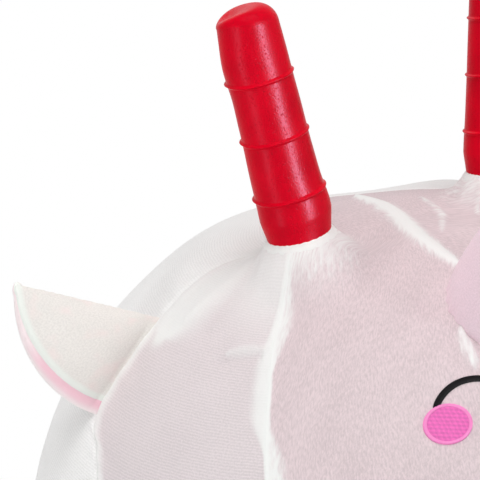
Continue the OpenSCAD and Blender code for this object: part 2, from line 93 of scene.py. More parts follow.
def stacked(*parts: Array) -> Array:
    """Parts of one grid as the last axis of an array, each spread to the grid's size first."""
    return np.stack(np.broadcast_arrays(*parts), axis=-1)


def lapped(values: Array) -> Array:
    """A grid with its first column again after its last, as the map of a closed ring needs."""
    return np.concatenate([values, values[:, :1]], axis=1)


def from_srgb(red: float, green: float, blue: float) -> Paint:
    """A screen colour as the linear colour that shader sockets take.

    Args:
        red: the screen's red, 0 to 255.
        green: its green.
        blue: its blue.

    Returns:
        The linear colour, with a fourth number of 1.
    """
    linear = [c / 12.92 if c <= 0.04045 else ((c + 0.055) / 1.055) ** 2.4
              for c in (red / 255, green / 255, blue / 255)]
    return (*linear, 1.0)


def darker(paint: Paint, kept: float) -> Paint:
    """A linear colour with a share of its light kept."""
    return (*(c * kept for c in paint[:3]), 1.0)


# Shaders


class Wire:
    """A shader socket that takes part in Python expressions; each operator adds a Math node."""

    def __init__(self, recipe: "Recipe", socket: bpy.types.NodeSocket) -> None:
        """Keeps the recipe that owns the nodes and the socket that carries the value."""
        self.recipe, self.socket = recipe, socket

    def math(self, operation: str, first: Any, second: Any = 0.0) -> "Wire":
        """One Math node of two values, either of which may be a number."""
        return self.recipe.node("ShaderNodeMath", {"operation": operation}, {0: first, 1: second})

    def __add__(self, other: Any) -> "Wire":
        """self + other"""
        return self.math("ADD", self, other)

    __radd__ = __add__

    def __sub__(self, other: Any) -> "Wire":
        """self - other"""
        return self.math("SUBTRACT", self, other)

    def __rsub__(self, other: Any) -> "Wire":
        """other - self"""
        return self.math("SUBTRACT", other, self)

    def __mul__(self, other: Any) -> "Wire":
        """self * other"""
        return self.math("MULTIPLY", self, other)

    __rmul__ = __mul__

    def __pow__(self, power: Any) -> "Wire":
        """self ** power"""
        return self.math("POWER", self, power)

    def __rpow__(self, base: Any) -> "Wire":
        """base ** self"""
        return self.math("POWER", base, self)

    def sine(self) -> "Wire":
        """The sine of an angle in radians."""
        return self.math("SINE", self)

    def wave(self) -> "Wire":
        """The sine of an angle in radians, brought to 0 to 1."""
        return self.sine() * 0.5 + 0.5

    def span(self, low: float, high: float) -> "Wire":
        """A smooth step of this value from low to high."""
        return self.recipe.node("ShaderNodeMapRange", {"interpolation_type": "SMOOTHSTEP"},
                                {"Value": self, "From Min": low, "From Max": high})


class Recipe:
    """The node tree of a new material or world, and the one method that makes its nodes."""

    def __init__(self, name: str, world: bool = False) -> None:
        """Starts an empty node tree.

        Args:
            name: the material's or the world's name.
            world: whether it is a world.
        """
        self.owner = bpy.data.worlds.new(name) if world else bpy.data.materials.new(name)
        self.end = "ShaderNodeOutputWorld" if world else "ShaderNodeOutputMaterial"
        self.owner.use_nodes = True
        self.tree = self.owner.node_tree
        self.tree.nodes.clear()

    def node(self, kind: str, settings: dict[str, Any] | None = None,
             inputs: dict[Any, Any] | None = None, out: Any = 0) -> Wire:
        """Makes one node.

        Args:
            kind: the node's type.
            settings: its own settings, set before its sockets.
            inputs: values or wires by socket name or number.
            out: the output that is handed back.

        Returns:
            The wire of that output.
        """
        node = self.tree.nodes.new(kind)
        for key, value in (settings or {}).items():
            setattr(node, key, value)
        for key, value in (inputs or {}).items():
            if isinstance(value, Wire):
                self.tree.links.new(value.socket, node.inputs[key])
            else:
                node.inputs[key].default_value = value
        return Wire(self, node.outputs[out])

    def mix(self, factor: Any, first: Any, second: Any) -> Wire:
        """A colour between two, by a factor."""
        return self.node("ShaderNodeMix", {"data_type": "RGBA"}, {0: factor, 6: first, 7: second}, 2)

    def mask(self, name: str) -> Wire:
        """A float attribute of the mesh."""
        return self.node("ShaderNodeAttribute", {"attribute_name": name}, out="Fac")

    def noise(self, vector: Wire, scale: float, detail: float = 2.0) -> Wire:
        """Noise of 0 to 1 in three dimensions."""
        return self.node("ShaderNodeTexNoise", {}, {"Vector": vector, "Scale": scale, "Detail": detail})

    def stretched(self, vector: Wire, scale: Sequence[float]) -> Wire:
        """A vector with its axes scaled apart."""
        return self.node("ShaderNodeMapping", {}, {"Vector": vector, "Scale": scale})

    def cloth_uv(self) -> Wire:
        """The piece's own map, in metres along the cloth."""
        return self.node("ShaderNodeUVMap", {"uv_map": CLOTH_UV})

    def place(self) -> Wire:
        """Object coordinates, which are metres in the shared frame."""
        return self.node("ShaderNodeTexCoord", {}, out="Object")

    def parts(self, vector: Wire) -> tuple[Wire, Wire]:
        """The first two numbers of a vector."""
        split = self.node("ShaderNodeSeparateXYZ", {}, {0: vector}).socket.node
        return Wire(self, split.outputs[0]), Wire(self, split.outputs[1])

    def bump(self, height: Wire, distance: float, strength: float = 1.0) -> Wire:
        """A normal tilted by a height of 0 to 1 that stands for a distance in metres."""
        return self.node("ShaderNodeBump", {}, {"Height": height, "Distance": distance, "Strength": strength})

    def seen_white(self) -> Wire:
        """1 for the rays that see the white room: from the camera, off a mirror or through glass.

        Returns:
            The greatest of the three ray kinds.
        """
        path = self.node("ShaderNodeLightPath").socket.node
        seen = Wire(self, path.outputs["Is Camera Ray"])
        for kind in ("Is Glossy Ray", "Is Transmission Ray"):
            seen = seen.math("MAXIMUM", seen, Wire(self, path.outputs[kind]))
        return seen

    def surface(self, sockets: dict[str, Any]) -> bpy.types.Material:
        """Closes a material with a Principled shader of these sockets."""
        return self.closed(self.node("ShaderNodeBsdfPrincipled", {}, sockets, "BSDF"))

    def closed(self, shader: Wire) -> bpy.types.ID:
        """Sends a shader to the tree's output and hands back the material or the world."""
        self.tree.links.new(shader.socket, self.tree.nodes.new(self.end).inputs["Surface"])
        return self.owner


class Nap(Enum):
    """How a plush cloth's pile lies."""

    STROKED = "short streaks down the cloth"
    RIBBED = "fine ribs across the cloth"
    PLAIN = "an even short pile"


@dataclass(frozen=True)
class PlushFinish:
    """Short plush: pile in the nap's direction, paler where a seam or a hem doubles it and where a fold has painted
    light.

    Pitches and heights are in metres, scales are in patterns to a metre, and a stretch is a scale along the pile.
    """

    name: str
    colour: Colour
    doubled_and_lit: Colour = (240, 241, 239)
    nap: Nap = Nap.PLAIN
    blush: Colour | None = None
    shade: float = 0.13
    sheen: float = 0.2
    pile_height: float = 0.0004
    depth: float = 0.6
    tones: Span = (0.34, 0.66)
    grain_scale: float = 900.0
    rib_pitch: float = 0.0016
    rib_share: float = 0.19
    wander: float = 6.0
    wander_scale: float = 60.0
    streak_scale: float = 1000.0
    streak_stretch: float = 0.34
    streak_share: float = 0.62
    wisp_scale: float = 420.0
    wisp_stretch: float = 0.3
    stroked_wisps: float = 5.0
    other_wisps: float = 0.5
    cloud_scale: float = 35.0
    cloud_share: float = 0.18
    blush_scale: float = 55.0
    blush_share: float = 0.6
    blush_span: Span = (0.48, 0.7)

    def pile(self, recipe: Recipe, uv: Wire) -> Wire:
        """Height of the pile from 0 to 1.

        Args:
            recipe: the material's nodes.
            uv: the cloth's map in metres.

        Returns:
            Ribs, streaks or an even grain with a little of each other in them.
        """
        grain = recipe.noise(uv, self.grain_scale, 3.0)
        if self.nap is Nap.RIBBED:
            wander = recipe.noise(uv, self.wander_scale) * self.wander
            ribs = (recipe.parts(uv)[1] * (2 * math.pi / self.rib_pitch) + wander).wave()
            return ribs * self.rib_share + grain * (1.0 - self.rib_share)
        if self.nap is Nap.STROKED:
            streaks = recipe.noise(recipe.stretched(uv, (1.0, self.streak_stretch, 1.0)), self.streak_scale)
            return streaks * self.streak_share + grain * (1.0 - self.streak_share)
        return grain

    def edged(self, recipe: Recipe, uv: Wire) -> Wire:
        """Share of doubled cloth and of painted light on folds: its mask, broken up by wisps m + w * m * (1 - m) where
        it is neither 0 nor 1.

        Args:
            recipe: the material's nodes.
            uv: the cloth's map in metres.

        Returns:
            A share of 0 to 1.
        """
        mask = recipe.mask("doubled_and_lit")
        wisps = recipe.noise(recipe.stretched(uv, (1.0, self.wisp_stretch, 1.0)), self.wisp_scale, 3.0) - 0.5
        strength = self.stroked_wisps if self.nap is Nap.STROKED else self.other_wisps
        return (mask + wisps * (mask * (1.0 - mask)) * strength).span(0.0, 1.0)

    def material(self) -> bpy.types.Material:
        """The cloth's material.

        Returns:
            Its tone, shaded by the pile and by broad clouds, under the pale colour of doubled cloth and of painted
            light on folds.
        """
        recipe = Recipe(self.name)
        uv = recipe.cloth_uv()
        pile = self.pile(recipe, uv)
        cloud = recipe.noise(uv, self.cloud_scale, 3.0)
        plain = from_srgb(*self.colour)
        light = (pile * (1.0 - self.cloud_share) + cloud * self.cloud_share).span(*self.tones)
        tone = recipe.mix(light, darker(plain, 1.0 - self.shade), plain)
        if self.blush:
            patches = recipe.noise(uv, self.blush_scale).span(*self.blush_span)
            tone = recipe.mix(patches * self.blush_share, tone, from_srgb(*self.blush))
        return recipe.surface({
            "Base Color": recipe.mix(self.edged(recipe, uv), tone, from_srgb(*self.doubled_and_lit)),
            "Roughness": 0.88, "Sheen Weight": self.sheen, "Sheen Roughness": 0.5, "Specular IOR Level": 0.02,
            "Normal": recipe.bump(pile, self.pile_height, self.depth)})


@dataclass(frozen=True)
class EarBackFinish:
    """Satin pink cloth of an ear's back: deepest beside the front cloth, fading to near white at the fold."""

    name: str = "pink_ear_plush"
    deep: Colour = (255, 210, 223)
    pale: Colour = (255, 240, 242)
    grain_scale: float = 1400.0
    grain_height: float = 0.0004
    cloud_scale: float = 60.0
    cloud_share: float = 0.25

    def material(self) -> bpy.types.Material:
        """The cloth's material.

        Returns:
            The two pinks mixed by the fade mask, which clouds break up.
        """
        recipe = Recipe(self.name)
        place = recipe.place()
        grain = recipe.noise(place, self.grain_scale, 3.0)
        cloud = recipe.noise(place, self.cloud_scale) - 0.5
        fade = (recipe.mask("fade") + cloud * self.cloud_share).span(0.0, 1.0)
        base = recipe.mix(fade, from_srgb(*self.deep), from_srgb(*self.pale))
        return recipe.surface({
            "Base Color": base, "Roughness": 0.8 + grain * 0.15, "Sheen Weight": 0.7,
            "Specular IOR Level": 0.05, "Normal": recipe.bump(grain, self.grain_height, 0.5)})


@dataclass(frozen=True)
class VinylFinish:
    """Soft moulded vinyl: a fine orange-peel skin that breaks the highlight into specks."""

    name: str
    colour: Colour
    roughness: float = 0.29
    peel_scale: float = 1000.0
    peel_height: float = 0.0002
    pit_scale: float = 700.0
    pit_shade_share: float = 0.3
    pit_shade_kept: float = 0.6
    haze_scale: float = 45.0
    haze_kept: float = 0.82
    haze_rough: float = 0.18
    peel_rough: float = 0.08
    pit_rough: float = 0.15

    def material(self) -> bpy.types.Material:
        """The vinyl's material.

        Returns:
            A clouded colour with the pits painted darker as painted shade, rougher in the haze and in the pits.
        """
        recipe = Recipe(self.name)
        place = recipe.place()
        skin = recipe.noise(place, self.peel_scale, 3.0)
        haze = recipe.noise(place, self.haze_scale, 3.0)
        plain = from_srgb(*self.colour)
        pits = recipe.noise(place, self.pit_scale, 1.0).span(0.6, 0.72)
        tone = recipe.mix(haze.span(0.25, 0.7), darker(plain, self.haze_kept), plain)
        return recipe.surface({
            # The pits are painted darker: painted shade in the skin's pits
            "Base Color": recipe.mix(pits * self.pit_shade_share, tone, darker(plain, self.pit_shade_kept)),
            "Roughness": (self.roughness + (haze - 0.5) * self.haze_rough + skin * self.peel_rough
                          + pits * self.pit_rough),
            "Specular IOR Level": 0.04, "Specular Tint": (1.0, 0.7, 1.0, 1.0),
            "Normal": recipe.bump(skin - pits * 0.5, self.peel_height, 0.55)})


@dataclass(frozen=True)
class ThreadFinish:
    """Satin stitches: fine threads side by side across the stroke, over the map's first direction."""

    name: str
    colour: Colour
    edge: Colour
    pitch: float = 0.0006
    stitch: float = 0.0
    wander_scale: float = 500.0
    end_share: float = 0.45
    deep_kept: float = 0.76
    thread_height: float = 0.0002

    def material(self) -> bpy.types.Material:
        """The thread's material.

        Returns:
            Rows of thread, broken up where there is a stitch length, with the edge colour on the border mask.
        """
        recipe = Recipe(self.name)
        uv = recipe.cloth_uv()
        along, aside = recipe.parts(uv)
        wander = recipe.noise(uv, self.wander_scale)
        rows = along * (2 * math.pi / self.pitch) + wander * 2.0
        threads = rows.wave()
        if self.stitch:
            ends = (aside * (2 * math.pi / self.stitch) + rows * 0.37 + wander * 9.0).wave()
            threads = threads * (1.0 - self.end_share) + ends * self.end_share
        plain = from_srgb(*self.colour)
        tone = recipe.mix(threads, darker(plain, self.deep_kept), plain)
        base = recipe.mix(recipe.mask("border"), tone, from_srgb(*self.edge))
        return recipe.surface({
            "Base Color": base, "Roughness": 0.6, "Sheen Weight": 0.05, "Specular IOR Level": 0.04,
            "Normal": recipe.bump(threads, self.thread_height, 0.7)})


@dataclass(frozen=True)
class TapeFinish:
    """Woven zip tape: a fine twill with a row of machine stitches along it."""

    name: str = "woven_tape"
    colour: Colour = (238, 236, 234)
    thread: Colour = (250, 248, 246)
    twill_pitch: float = 0.0009
    twill_kept: float = 0.8
    row_at: float = 0.0068
    row_w: float = 0.0004
    stitch_pitch: float = 0.0032
    weave_height: float = 0.0003

    def material(self) -> bpy.types.Material:
        """The tape's material.

        Returns:
            A slanting twill with dashes of thread along one line.
        """
        recipe = Recipe(self.name)
        across, along = recipe.parts(recipe.cloth_uv())
        twill = ((across + along) * (2 * math.pi / self.twill_pitch)).wave()
        row = 1.0 - (((across - self.row_at) * (1.0 / self.row_w)) ** 2.0).span(0.3, 1.0)
        stitch = row * (along * (2 * math.pi / self.stitch_pitch)).sine().span(-0.3, 0.2)
        plain = from_srgb(*self.colour)
        tone = recipe.mix(twill, darker(plain, self.twill_kept), plain)
        return recipe.surface({
            "Base Color": recipe.mix(stitch, tone, from_srgb(*self.thread)), "Roughness": 0.8,
            "Normal": recipe.bump(twill * 0.4 + stitch, self.weave_height, 0.6)})


@dataclass(frozen=True)
class HardFinish:
    """Moulded plastic or plated metal of the zip and the valve: faint handling marks in the gloss."""

    name: str
    colour: Colour
    roughness: float
    metallic: float = 0.0
    haze_scale: float = 220.0
    haze_kept: float = 0.85
    scratch_scale: float = 2600.0
    scratch_depth: float = 0.00006

    def material(self) -> bpy.types.Material:
        """The hard material.

        Returns:
            A faintly clouded colour with fine upright scratches.
        """
        recipe = Recipe(self.name)
        place = recipe.place()
        haze = recipe.noise(place, self.haze_scale, 4.0)
        scratch = recipe.noise(recipe.stretched(place, (1.0, 1.0, 0.08)), self.scratch_scale)
        plain = from_srgb(*self.colour)
        return recipe.surface({
            "Base Color": recipe.mix(haze.span(0.3, 0.7), darker(plain, self.haze_kept), plain),
            "Metallic": self.metallic, "Roughness": self.roughness + haze * 0.16,
            "Normal": recipe.bump(scratch, self.scratch_depth, 0.5)})


# Meshes


@dataclass
class Grid:
    """A grid of points in millimetres about the ball's centre, with its cloth map and its masks."""

    points: Array
    uv: Array
    masks: dict[str, Array] = field(default_factory=dict)
    ring: bool = False
    tube: bool = False
    tips: tuple[Array | None, Array | None] = (None, None)
    cut: Array | None = None

    def faces(self) -> tuple[Array, Array]:
        """Corners of the grid's quads.

        Returns:
            Vertex numbers and map numbers, each with four columns; ring closes the columns on themselves and
            tube closes the rows.
        """
        rows, cols = self.points.shape[:2]
        wide, tall = cols - 1 + self.ring, rows - 1 + self.tube
        i, j = (a.ravel() for a in np.meshgrid(np.arange(tall), np.arange(wide), indexing="ij"))
        corners = ((i, j), (i, j + 1), (i + 1, j + 1), (i + 1, j))
        vertex = np.stack([(a % rows) * cols + b % cols for a, b in corners], axis=1)
        mapped = np.stack([a * (cols + self.ring) + b for a, b in corners], axis=1)
        return vertex, mapped

    def caps(self) -> tuple[list[Array], Array]:
        """Fans that close the first and last row on a tip point.

        Returns:
            The tip points and their triangles.
        """
        rows, cols = self.points.shape[:2]
        found, fans = [], []
        for tip, row in zip(self.tips, (0, rows - 1)):
            if tip is None:
                continue
            here = row * cols + np.arange(cols)
            there = row * cols + (np.arange(cols) + 1) % cols
            number = np.full(cols, rows * cols + len(found))
            fan = np.stack([here, there, number], axis=1)
            fans.append(fan[:, ::-1] if row == 0 else fan)
            found.append(tip)
        return found, np.concatenate(fans) if fans else np.zeros((0, 3), int)

    def make(self, name: str, inside: Sequence[float] = (0.0, 0.0, 0.0)) -> bpy.types.Object:
        """Puts the grid into a mesh object at the origin.

        Args:
            name: the piece's name.
            inside: a point that every face looks away from.

        Returns:
            The new object, smooth shaded, with its map and masks.
        """
        quads, mapped = self.faces()
        tips, fans = self.caps()
        points = np.concatenate([self.points.reshape(-1, 3), *[np.reshape(t, (1, 3)) for t in tips]])
        masks = {key: np.concatenate([mask.ravel(), np.full(len(tips), mask.ravel()[-1])])
                 for key, mask in self.masks.items()}
        uv = self.uv.reshape(-1, 2)
        # Quads that lie wholly in the cut are left out, with the points that only they use
        if self.cut is not None:
            kept = ~self.cut.ravel()[quads].all(axis=1)
            mapped = mapped[kept]
            used, quads = np.unique(quads[kept], return_inverse=True)
            quads, points = quads.reshape(-1, 4), points[used]
            masks = {key: mask[used] for key, mask in masks.items()}
        fan_uv = uv[np.minimum(fans, len(uv) - 1)]
        # Every face is turned round where the faces together look inwards
        corner = points[quads]
        normal = np.cross(corner[:, 2] - corner[:, 0], corner[:, 3] - corner[:, 1])
        if np.sum(normal * (corner.mean(axis=1) - np.asarray(inside))) < 0.0:
            quads, mapped, fans, fan_uv = quads[:, ::-1], mapped[:, ::-1], fans[:, ::-1], fan_uv[:, ::-1]
        # The mesh, its map and its masks
        mesh = bpy.data.meshes.new(name)
        mesh.from_pydata(((points + (0.0, 0.0, CENTRE_Z)) * MM).tolist(), [], quads.tolist() + fans.tolist())
        layer = mesh.uv_layers.new(name=CLOTH_UV)
        corners_uv = np.concatenate([uv[mapped].reshape(-1, 2), fan_uv.reshape(-1, 2)])
        layer.data.foreach_set("uv", corners_uv.astype(np.float32).ravel())
        for key, values in masks.items():
            mesh.attributes.new(key, "FLOAT", "POINT").data.foreach_set("value", values.astype(np.float32))
        mesh.polygons.foreach_set("use_smooth", np.ones(len(mesh.polygons), bool))
        mesh.update()
        piece = bpy.data.objects.new(name, mesh)
        bpy.context.scene.collection.objects.link(piece)
        return piece


def run_lengths(points: Array, axis: int) -> Array:
    """Distance run along one axis of a grid: the sum of the steps from its first row or column.

    Args:
        points: the grid's points.
        axis: 0 to run down the rows, 1 to run across the columns.

    Returns:
        A distance for each point.
    """
    steps = np.linalg.norm(np.diff(points, axis=axis), axis=-1)
    lead = np.zeros_like(np.take(steps, [0], axis=axis))
    return np.concatenate([lead, np.cumsum(steps, axis=axis)], axis=axis)


def thicken(piece: bpy.types.Object, thickness: float) -> None:
    """Gives a sheet its wall, inwards from the faces that it has.

    Edges with one face are marked sharp, so that the rim's own faces don't shade the cloth beside a seam.

    Args:
        piece: the sheet.
        thickness: its wall in metres.
    """
    mesh = piece.data
    edges = np.empty(len(mesh.loops), dtype=np.int32)
    mesh.loops.foreach_get("edge_index", edges)
    mesh.edges.foreach_set("use_edge_sharp", np.bincount(edges, minlength=len(mesh.edges)) == 1)
    wall = piece.modifiers.new("wall", "SOLIDIFY")
    wall.thickness, wall.offset = thickness, -1.0


def dress(piece: bpy.types.Object, material: bpy.types.Material, body: str, slot: str,
          *nodes: str) -> None:
    """Gives a finished piece its material and its body, hides the nodes that it stands for and logs them with its
    slot.

    Args:
        piece: the piece.
        material: its finish.
        body: the body that it rides on, or nothing to leave it without one.
        slot: the slot that its finish belongs to.
        nodes: the CAD nodes that it replaces.
    """
    piece.data.materials.append(material)
    if body:
        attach(piece, body)
    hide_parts(*nodes)
    LOG.info("%s: %d faces, slot %s, stands for %s", piece.name, len(piece.data.polygons), slot, ", ".join(nodes))


# The cover


class Side(Enum):
    """The viewer's left or right of the face; the value is the sign of X."""

    LEFT = -1
    RIGHT = 1

    @property
    def word(self) -> str:
        """The side's name in piece names."""
        return self.name.lower()

    def turned(self, points: Array) -> Array:
        """Points of the left side, mirrored where this is the right."""
        return points * np.array([-self.value, 1.0, 1.0])


@dataclass(frozen=True)
class HandleSeat:
    """Where the left handle stands: its root's middle, its axis, the hole round it and the cloth's tent there."""

    root: tuple[float, float, float] = (-72.9, 0.8, 226.8)
    splay: float = 7.8
    lean: float = 10.7
    hole_r: float = 18.8
    tent_run: float = 9.0
    cone_slope: float = 1.3
    cone_top: float = 1.3
    tent_foot: Span = (-70.0, -45.0)
    tent_edge: Span = (60.0, 90.0)
    gather: float = 0.35
    gather_at: float = 27.0
    gather_w: float = 9.0
    gathers: int = 9

    def axis(self) -> Array:
        """The handle's direction."""
        a, b = math.radians(self.splay), math.radians(self.lean)
        return np.array([-math.sin(a), math.cos(a) * math.sin(b), math.cos(a) * math.cos(b)])

    def cross(self) -> tuple[Array, Array]:
        """Two directions across the handle: to the viewer's right, and to the back."""
        right = unit(np.cross([0.0, 1.0, 0.0], self.axis()))
        return right, np.cross(self.axis(), right)

    def split(self, points: Array) -> tuple[Array, Array, Array]:
        """Takes points into the handle's own directions.

        Args:
            points: points about the ball's centre.

        Returns:
            Their height along the handle, their distance from its axis and their angle about it.
        """
        right, back = self.cross()
        away = points - np.array(self.root)
        x, y = away @ right, away @ back
        return away @ self.axis(), np.hypot(x, y), np.arctan2(y, x)

    def placed(self, away: Array, turn: Array, height: Array) -> Array:
        """Points at distances from the handle's axis, angles about it and heights along it.

        Args:
            away: distances from the axis.
            turn: angles in radians, from the viewer's right to the back.
            height: heights above the root.

        Returns:
            Points about the ball's centre.
        """
        right, back = self.cross()
        ring = np.cos(turn)[..., None] * right + np.sin(turn)[..., None] * back
        return np.array(self.root) + away[..., None] * ring + height[..., None] * self.axis()


@dataclass(frozen=True)
class Fold:
    """A raised fold or a crease of the cloth along a path on the cover; white is its share of pale colour, painted
    light along it.
    """

    path: tuple[tuple[float, float, float], ...]
    rise: float
    width: float
    white: float = 0.0
    at_r: float = 220.0
    end_share: float = 0.35

    def reach(self, points: Array) -> Array:
        """Height share of the fold at points: a bell of the distance to the path, thinner at its ends.

        The bell's width grows from a share of itself at both ends by the root of sin(pi * run) along the path.

        Args:
            points: points about the ball's centre.

        Returns:
            A share of 0 to 1 for each point.
        """
        path = unit(np.array(self.path)) * self.at_r
        start, step = path[:-1], np.diff(path, axis=0)
        size = np.sum(step * step, axis=1)
        flat = unit(points).reshape(-1, 1, 3) * self.at_r
        t = np.clip(np.sum((flat - start) * step, axis=2) / size, 0.0, 1.0)
        gap = np.linalg.norm(flat - start - t[..., None] * step, axis=2)
        near = np.argmin(gap, axis=1)
        run = (near + np.take_along_axis(t, near[:, None], axis=1)[:, 0]) / len(step)
        taper = self.end_share + (1.0 - self.end_share) * np.sqrt(np.clip(np.sin(math.pi * run), 0.0, 1.0))
        return bell(np.min(gap, axis=1) / taper, self.width).reshape(points.shape[:-1])


# Folds of the cloth: points about the ball's centre, a rise, a width and a share of white, which is painted light
# along the fold. The side and back panels on the right mirror those on the left.
FOLDS = (
    # The pale sweep down the crown, between the handles, painted white along its ridge as painted highlight
    Fold(((14.0, 60.2, 211.5), (11.8, 46.9, 213.9), (9.0, 31.4, 215.8), (4.4, 14.0, 217.2), (-3.0, -8.3, 217.4),
          (-6.5, -22.9, 216.6), (-7.4, -33.4, 215.7), (-8.6, -46.5, 214.0), (-8.6, -59.0, 211.9)), 2.6, 6.2, 1.0),
    # Folds that run down from the right handle
    Fold(((35.7, 26.5, 214.4), (23.9, -6.8, 216.5), (8.9, -23.9, 216.5)), 1.2, 2.6, 0.5),
    Fold(((80.0, 42.0, 204.6), (39.5, -18.6, 214.5)), 1.4, 3.0, 0.6),
    # Puckers beside the horn's root and the hollow above them
    Fold(((-41.5, -96.5, 199.9), (-45.7, -107.6, 195.2), (-48.4, -117.1, 189.0)), 1.5, 3.4, 0.7),
    Fold(((-46.0, -94.5, 199.9), (-51.8, -102.7, 196.3), (-57.0, -112.0, 189.6)), -1.0, 2.6),
    Fold(((-37.7, -98.9, 199.7), (-40.6, -108.4, 195.8), (-42.3, -117.6, 190.2)), -1.2, 2.4),
    Fold(((-45.4, -71.9, 206.1), (-42.1, -77.9, 205.1), (-39.7, -84.0, 203.8)), -1.6, 9.0),
    # The crease across the side panel and the swelling over it
    Fold(((-142.0, -14.9, 177.1), (-135.8, -22.0, 181.2), (-129.8, -30.1, 184.4), (-125.6, -37.1, 186.0)), -1.6, 1.9),
    Fold(((-135.3, -17.5, 182.1), (-128.3, -26.4, 186.0), (-122.7, -35.0, 188.3)), 1.2, 4.0, 0.45),
    # Folds that run from the left handle along the ear seam
    Fold(((-80.0, 24.5, 206.5), (-105.3, 24.8, 198.8), (-132.4, 27.3, 183.0)), 1.4, 6.5, 0.3),
    Fold(((-86.6, 12.4, 205.4), (-104.5, 11.5, 199.9), (-117.4, 17.3, 194.1)), -1.2, 6.0),
    Fold(((-74.0, 30.0, 207.4), (-104.0, 31.0, 197.8), (-130.0, 35.0, 183.1), (-143.0, 37.0, 172.7)), 0.0, 21.0, 0.75),
    Fold(((-101.9, -2.8, 201.0), (-116.9, -1.2, 195.1), (-129.9, 2.4, 186.8)), 0.9, 6.0, 0.2),
)


@dataclass(frozen=True)
class CoverForm:
    """The cover's outside: a sphere with a flatter crown, a flat patch on the floor and a tent at each handle.

    Each swell is X, Y, height and width of a bell that raises or lowers the crown.
    """

    cover_r: float = 227.5
    crown_r: float = 322.5
    crown_z: float = -105.0
    soften: float = 1.5
    seat: HandleSeat = HandleSeat()
    sway: float = 0.45
    swells: tuple[tuple[float, float, float, float], ...] = (
        (40.0, 95.0, -6.2, 56.0), (126.0, 86.0, 9.0, 40.0), (-84.0, 84.0, 1.6, 36.0))
    swell_from: Span = (60.0, 150.0)
    sway_from: Span = (-0.95, -0.8)
    tops_from: float = 100.0
    folds: tuple[Fold, ...] = FOLDS

    def radius(self, ways: Array) -> Array:
        """Distance from the ball's centre to the plain form: the softened least of sphere, crown and floor.

        Args:
            ways: unit directions.

        Returns:
            A distance for each.
        """
        up = ways[..., 2]
        crown = self.crown_z * up + np.sqrt(self.crown_r**2 - self.crown_z**2 * (1.0 - up * up))
        both = -self.soften * np.logaddexp(-self.cover_r / self.soften, -crown / self.soften)
        floor = CENTRE_Z / np.maximum(-up, 1e-6)
        return np.where(up < 0.0, np.minimum(both, floor), both)

    def above(self, flat: Array) -> Array:
        """Points of the plain form above points of the XY plane, on the lower of the sphere and the crown.

        Args:
            flat: X and Y of each point.

        Returns:
            The points.
        """
        away = np.sum(flat * flat, axis=-1)
        sphere = np.sqrt(np.maximum(self.cover_r**2 - away, 0.0))
        crown = self.crown_z + np.sqrt(self.crown_r**2 - away)
        return np.concatenate([flat, np.minimum(sphere, crown)[..., None]], axis=-1)

    def saddled(self, points: Array) -> Array:
        """Points lowered between the handles behind the crown and raised behind each: a sum of bells over XY.

        Args:
            points: points of the plain form.

        Returns:
            The points, moved only on the ball's top.
        """
        x, y, z = np.moveaxis(points, -1, 0)
        rise = sum(high * bell(np.hypot(x - at_x, y - at_y), wide) for at_x, at_y, high, wide in self.swells)
        return points + unit(points) * (rise * ease(*self.swell_from, z))[..., None]

    def tented(self, points: Array) -> Array:
        """Points drawn up along each handle, onto the softened higher of a cone and of an exponential flare.

        The cone falls from the hole at the neck's slope. The flare leaves height * (1 - exp(-(distance - hole) /
        run)) of the plain form's depth below the root. Low gathers run out from the hole.

        Args:
            points: points of the plain form.

        Returns:
            The points, moved only near the handles.
        """
        moved, seat = points, self.seat
        for side in Side:
            height, away, turn = seat.split(side.turned(points))
            out = np.maximum(away - seat.hole_r, 0.0)
            flare = height * (1.0 - np.exp(-out / seat.tent_run))
            top = np.logaddexp(flare, seat.cone_top - seat.cone_slope * out)
            waves = 1.0 + np.cos(seat.gathers * turn + 1.3 * np.sin(2.0 * turn))
            gather = seat.gather * bell(away - seat.gather_at, seat.gather_w) * waves
            lift = top + gather - height
            lift = lift * ease(*seat.tent_foot, height) * (1.0 - ease(*seat.tent_edge, away))
            moved = moved + side.turned(seat.axis()) * lift[..., None]
        return moved

    def from_handle(self, points: Array) -> Array:
        """Distance of points from the nearer handle's axis, far more below the crown."""
        away = np.minimum(*(self.seat.split(side.turned(points))[1] for side in Side))
        return away + np.where(points[..., 2] < self.tops_from, self.cover_r, 0.0)

    def outside(self, ways: Array) -> Array:
        """The tented outside, with the slight unevenness of cloth over air: a few crossing waves.

        Args:
            ways: unit directions.

        Returns:
            A point along each.
        """
        x, y, z = np.moveaxis(ways, -1, 0)
        slow = np.sin(7.1 * x + 3.2 * z) * np.sin(6.3 * y - 4.1 * z + 0.7)
        quick = 0.5 * np.sin(15.0 * x - 9.0 * y + 5.0 * z)
        points = ways * (self.radius(ways) + self.sway * (slow + quick) * ease(*self.sway_from, z))[..., None]
        return self.tented(self.saddled(points))


def curved(points: Array, steps: int = 12) -> Array:
    """A smooth curve through points: cubic spans that pass each point in the direction of its neighbours.

    Args:
        points: the points, in order.
        steps: new points to a span.

    Returns:
        The curve's points, with both ends.
    """
    a = np.concatenate([points[:1], points[:-2]])[:, None]
    b, c = points[:-1, None], points[1:, None]
    d = np.concatenate([points[2:], points[-1:]])[:, None]
    t = np.linspace(0.0, 1.0, steps, endpoint=False)[None, :, None]
    spans = b + ((c - a) * t + (2 * a - 5 * b + 4 * c - d) * t**2 + (3 * b - a - 3 * c + d) * t**3) / 2
    return np.concatenate([spans.reshape(-1, points.shape[1]), points[-1:]])


def resampled(points: Array, count: int) -> Array:
    """A path of evenly spaced points along a polyline, as unit directions from the ball's centre.

    Args:
        points: the polyline's points.
        count: how many points the path has.

    Returns:
        The directions.
    """
    run = run_lengths(points, 0)
    even = np.linspace(0.0, run[-1], count)
    return unit(np.stack([np.interp(even, run, points[:, k]) for k in range(3)], axis=1))


